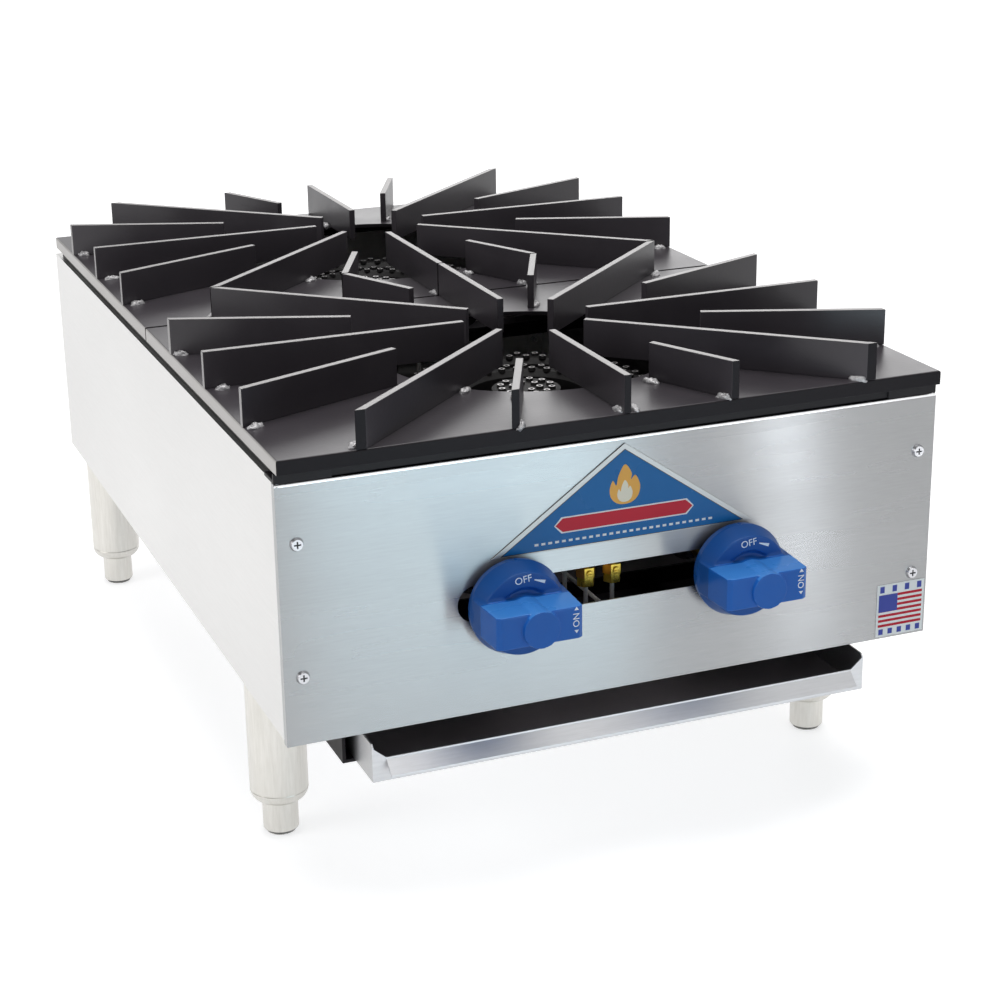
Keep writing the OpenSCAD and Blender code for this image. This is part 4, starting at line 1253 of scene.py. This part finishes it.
def roundLoop(points, steps):
    # a smooth closed line through the points
    loop = []
    count = len(points)
    for i in range(count):
        p0, p1, p2, p3 = (Vector(points[(i + k) % count]) for k in (-1, 0, 1, 2))
        for s in range(steps):
            t = s / steps
            bend = (p0 * 2 - p1 * 5 + p2 * 4 - p3) * t * t
            at = p1 * 2 + (p2 - p0) * t + bend + (p1 * 3 - p0 - p2 * 3 + p3) * t ** 3
            loop.append((at.x / 2, at.y / 2))
    return loop


def printOn(corners, finish, faceY, thickness):
    # a thin flat print, sunk a little into what it lies on
    shape = flatShape(corners, 2 * thickness)
    shape.location = (0, faceY + thickness, 0)
    settle(shape)
    shape.data.materials.append(finishes[finish])
    return shape


def bandCorners(spec, grow):
    half, low, high = spec["bandHalf"] + grow, spec["bandLow"] - grow, spec["bandHigh"] + grow
    point, middle = half + spec["bandTurn"], (low + high) / 2
    return [(-half, low), (half, low), (point, middle), (half, high), (-half, high), (-point, middle)]


def oblong(x0, z0, x1, z1):
    return [(x0, z0), (x1, z0), (x1, z1), (x0, z1)]


def makeBadgeArt(spec):
    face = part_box("badge_plate")[0][1]
    step = spec["field"]
    lower, lowest = step * spec["lower"], step * spec["lowest"]
    base, (wide, tall) = spec["flameBase"], spec["heart"]
    flame = [(x * mm, z * mm + base) for x, z in spec["flame"]]
    heart = [(x * wide * mm, z * tall * mm + base + spec["heartRise"]) for x, z in spec["flame"]]
    rim, line = spec["rim"], spec["line"]
    prints = [
        printOn(insetTriangle(spec, rim - line, spec["baseRim"] - line), "blackPrintAndShade", face, lowest),
        printOn(insetTriangle(spec, rim, spec["baseRim"]), "badgeBlue", face, step),
        printOn(roundLoop(flame, spec["flameSteps"]), "printOrange", face - step, lower),
        printOn(roundLoop(heart, spec["flameSteps"]), "printCream", face - step, step),
        printOn(bandCorners(spec, spec["outline"]), "printWhite", face - step, lower),
        printOn(bandCorners(spec, 0), "printRed", face - step, step),
    ]
    wide, tall = spec["dashSize"]
    for k in range(spec["dashes"]):
        x = spec["dashSpan"] * (k / (spec["dashes"] - 1) - 0.5)
        dash = oblong(x - wide / 2, spec["dashHeight"], x + wide / 2, spec["dashHeight"] + tall)
        prints.append(printOn(dash, "printWhite", face - step, lower))
    goWith(joinPieces(prints, "badge_prints"), "badge_plate")


labelArt = {
    "stripes": 7,
    "low": 124.5 * mm,
    "high": 148 * mm,
    "margin": 1.6 * mm,
    "block": (14.5 * mm, 12.5 * mm),
    "rise": 0.12 * mm,
    "blockRise": 0.18 * mm,
    "bars": [(4, 149.6, 4.6), (5, 118.9, 4.0)],  # how many, their foot, their height, in mm
    "barWidth": 3.4 * mm,
    "barsIn": 2.4 * mm,
}


def makeLabelArt(spec):
    low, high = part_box("label_plate")
    face, x0, x1 = low[1], low[0] + spec["margin"], high[0] - spec["margin"]
    step = (spec["high"] - spec["low"]) / (2 * spec["stripes"] - 1)
    prints = []
    for k in range(spec["stripes"]):
        z = spec["low"] + 2 * k * step
        prints.append(printOn(oblong(x0, z, x1, z + step), "printRed", face, spec["rise"]))
    wide, tall = spec["block"]
    block = oblong(x0, spec["high"] - tall, x0 + wide, spec["high"])
    prints.append(printOn(block, "printNavy", face, spec["blockRise"]))
    half, inside = spec["barWidth"] / 2, spec["barsIn"]
    for count, foot, height in spec["bars"]:
        for k in range(count):
            x = x0 + inside + (x1 - x0 - 2 * inside) * k / (count - 1)
            bar = oblong(x - half, foot * mm, x + half, (foot + height) * mm)
            prints.append(printOn(bar, "printNavy", face, spec["rise"]))
    goWith(joinPieces(prints, "label_prints"), "label_plate")


makeBadgeArt(badgeArt)
makeLabelArt(labelArt)
print("badge and label printed")
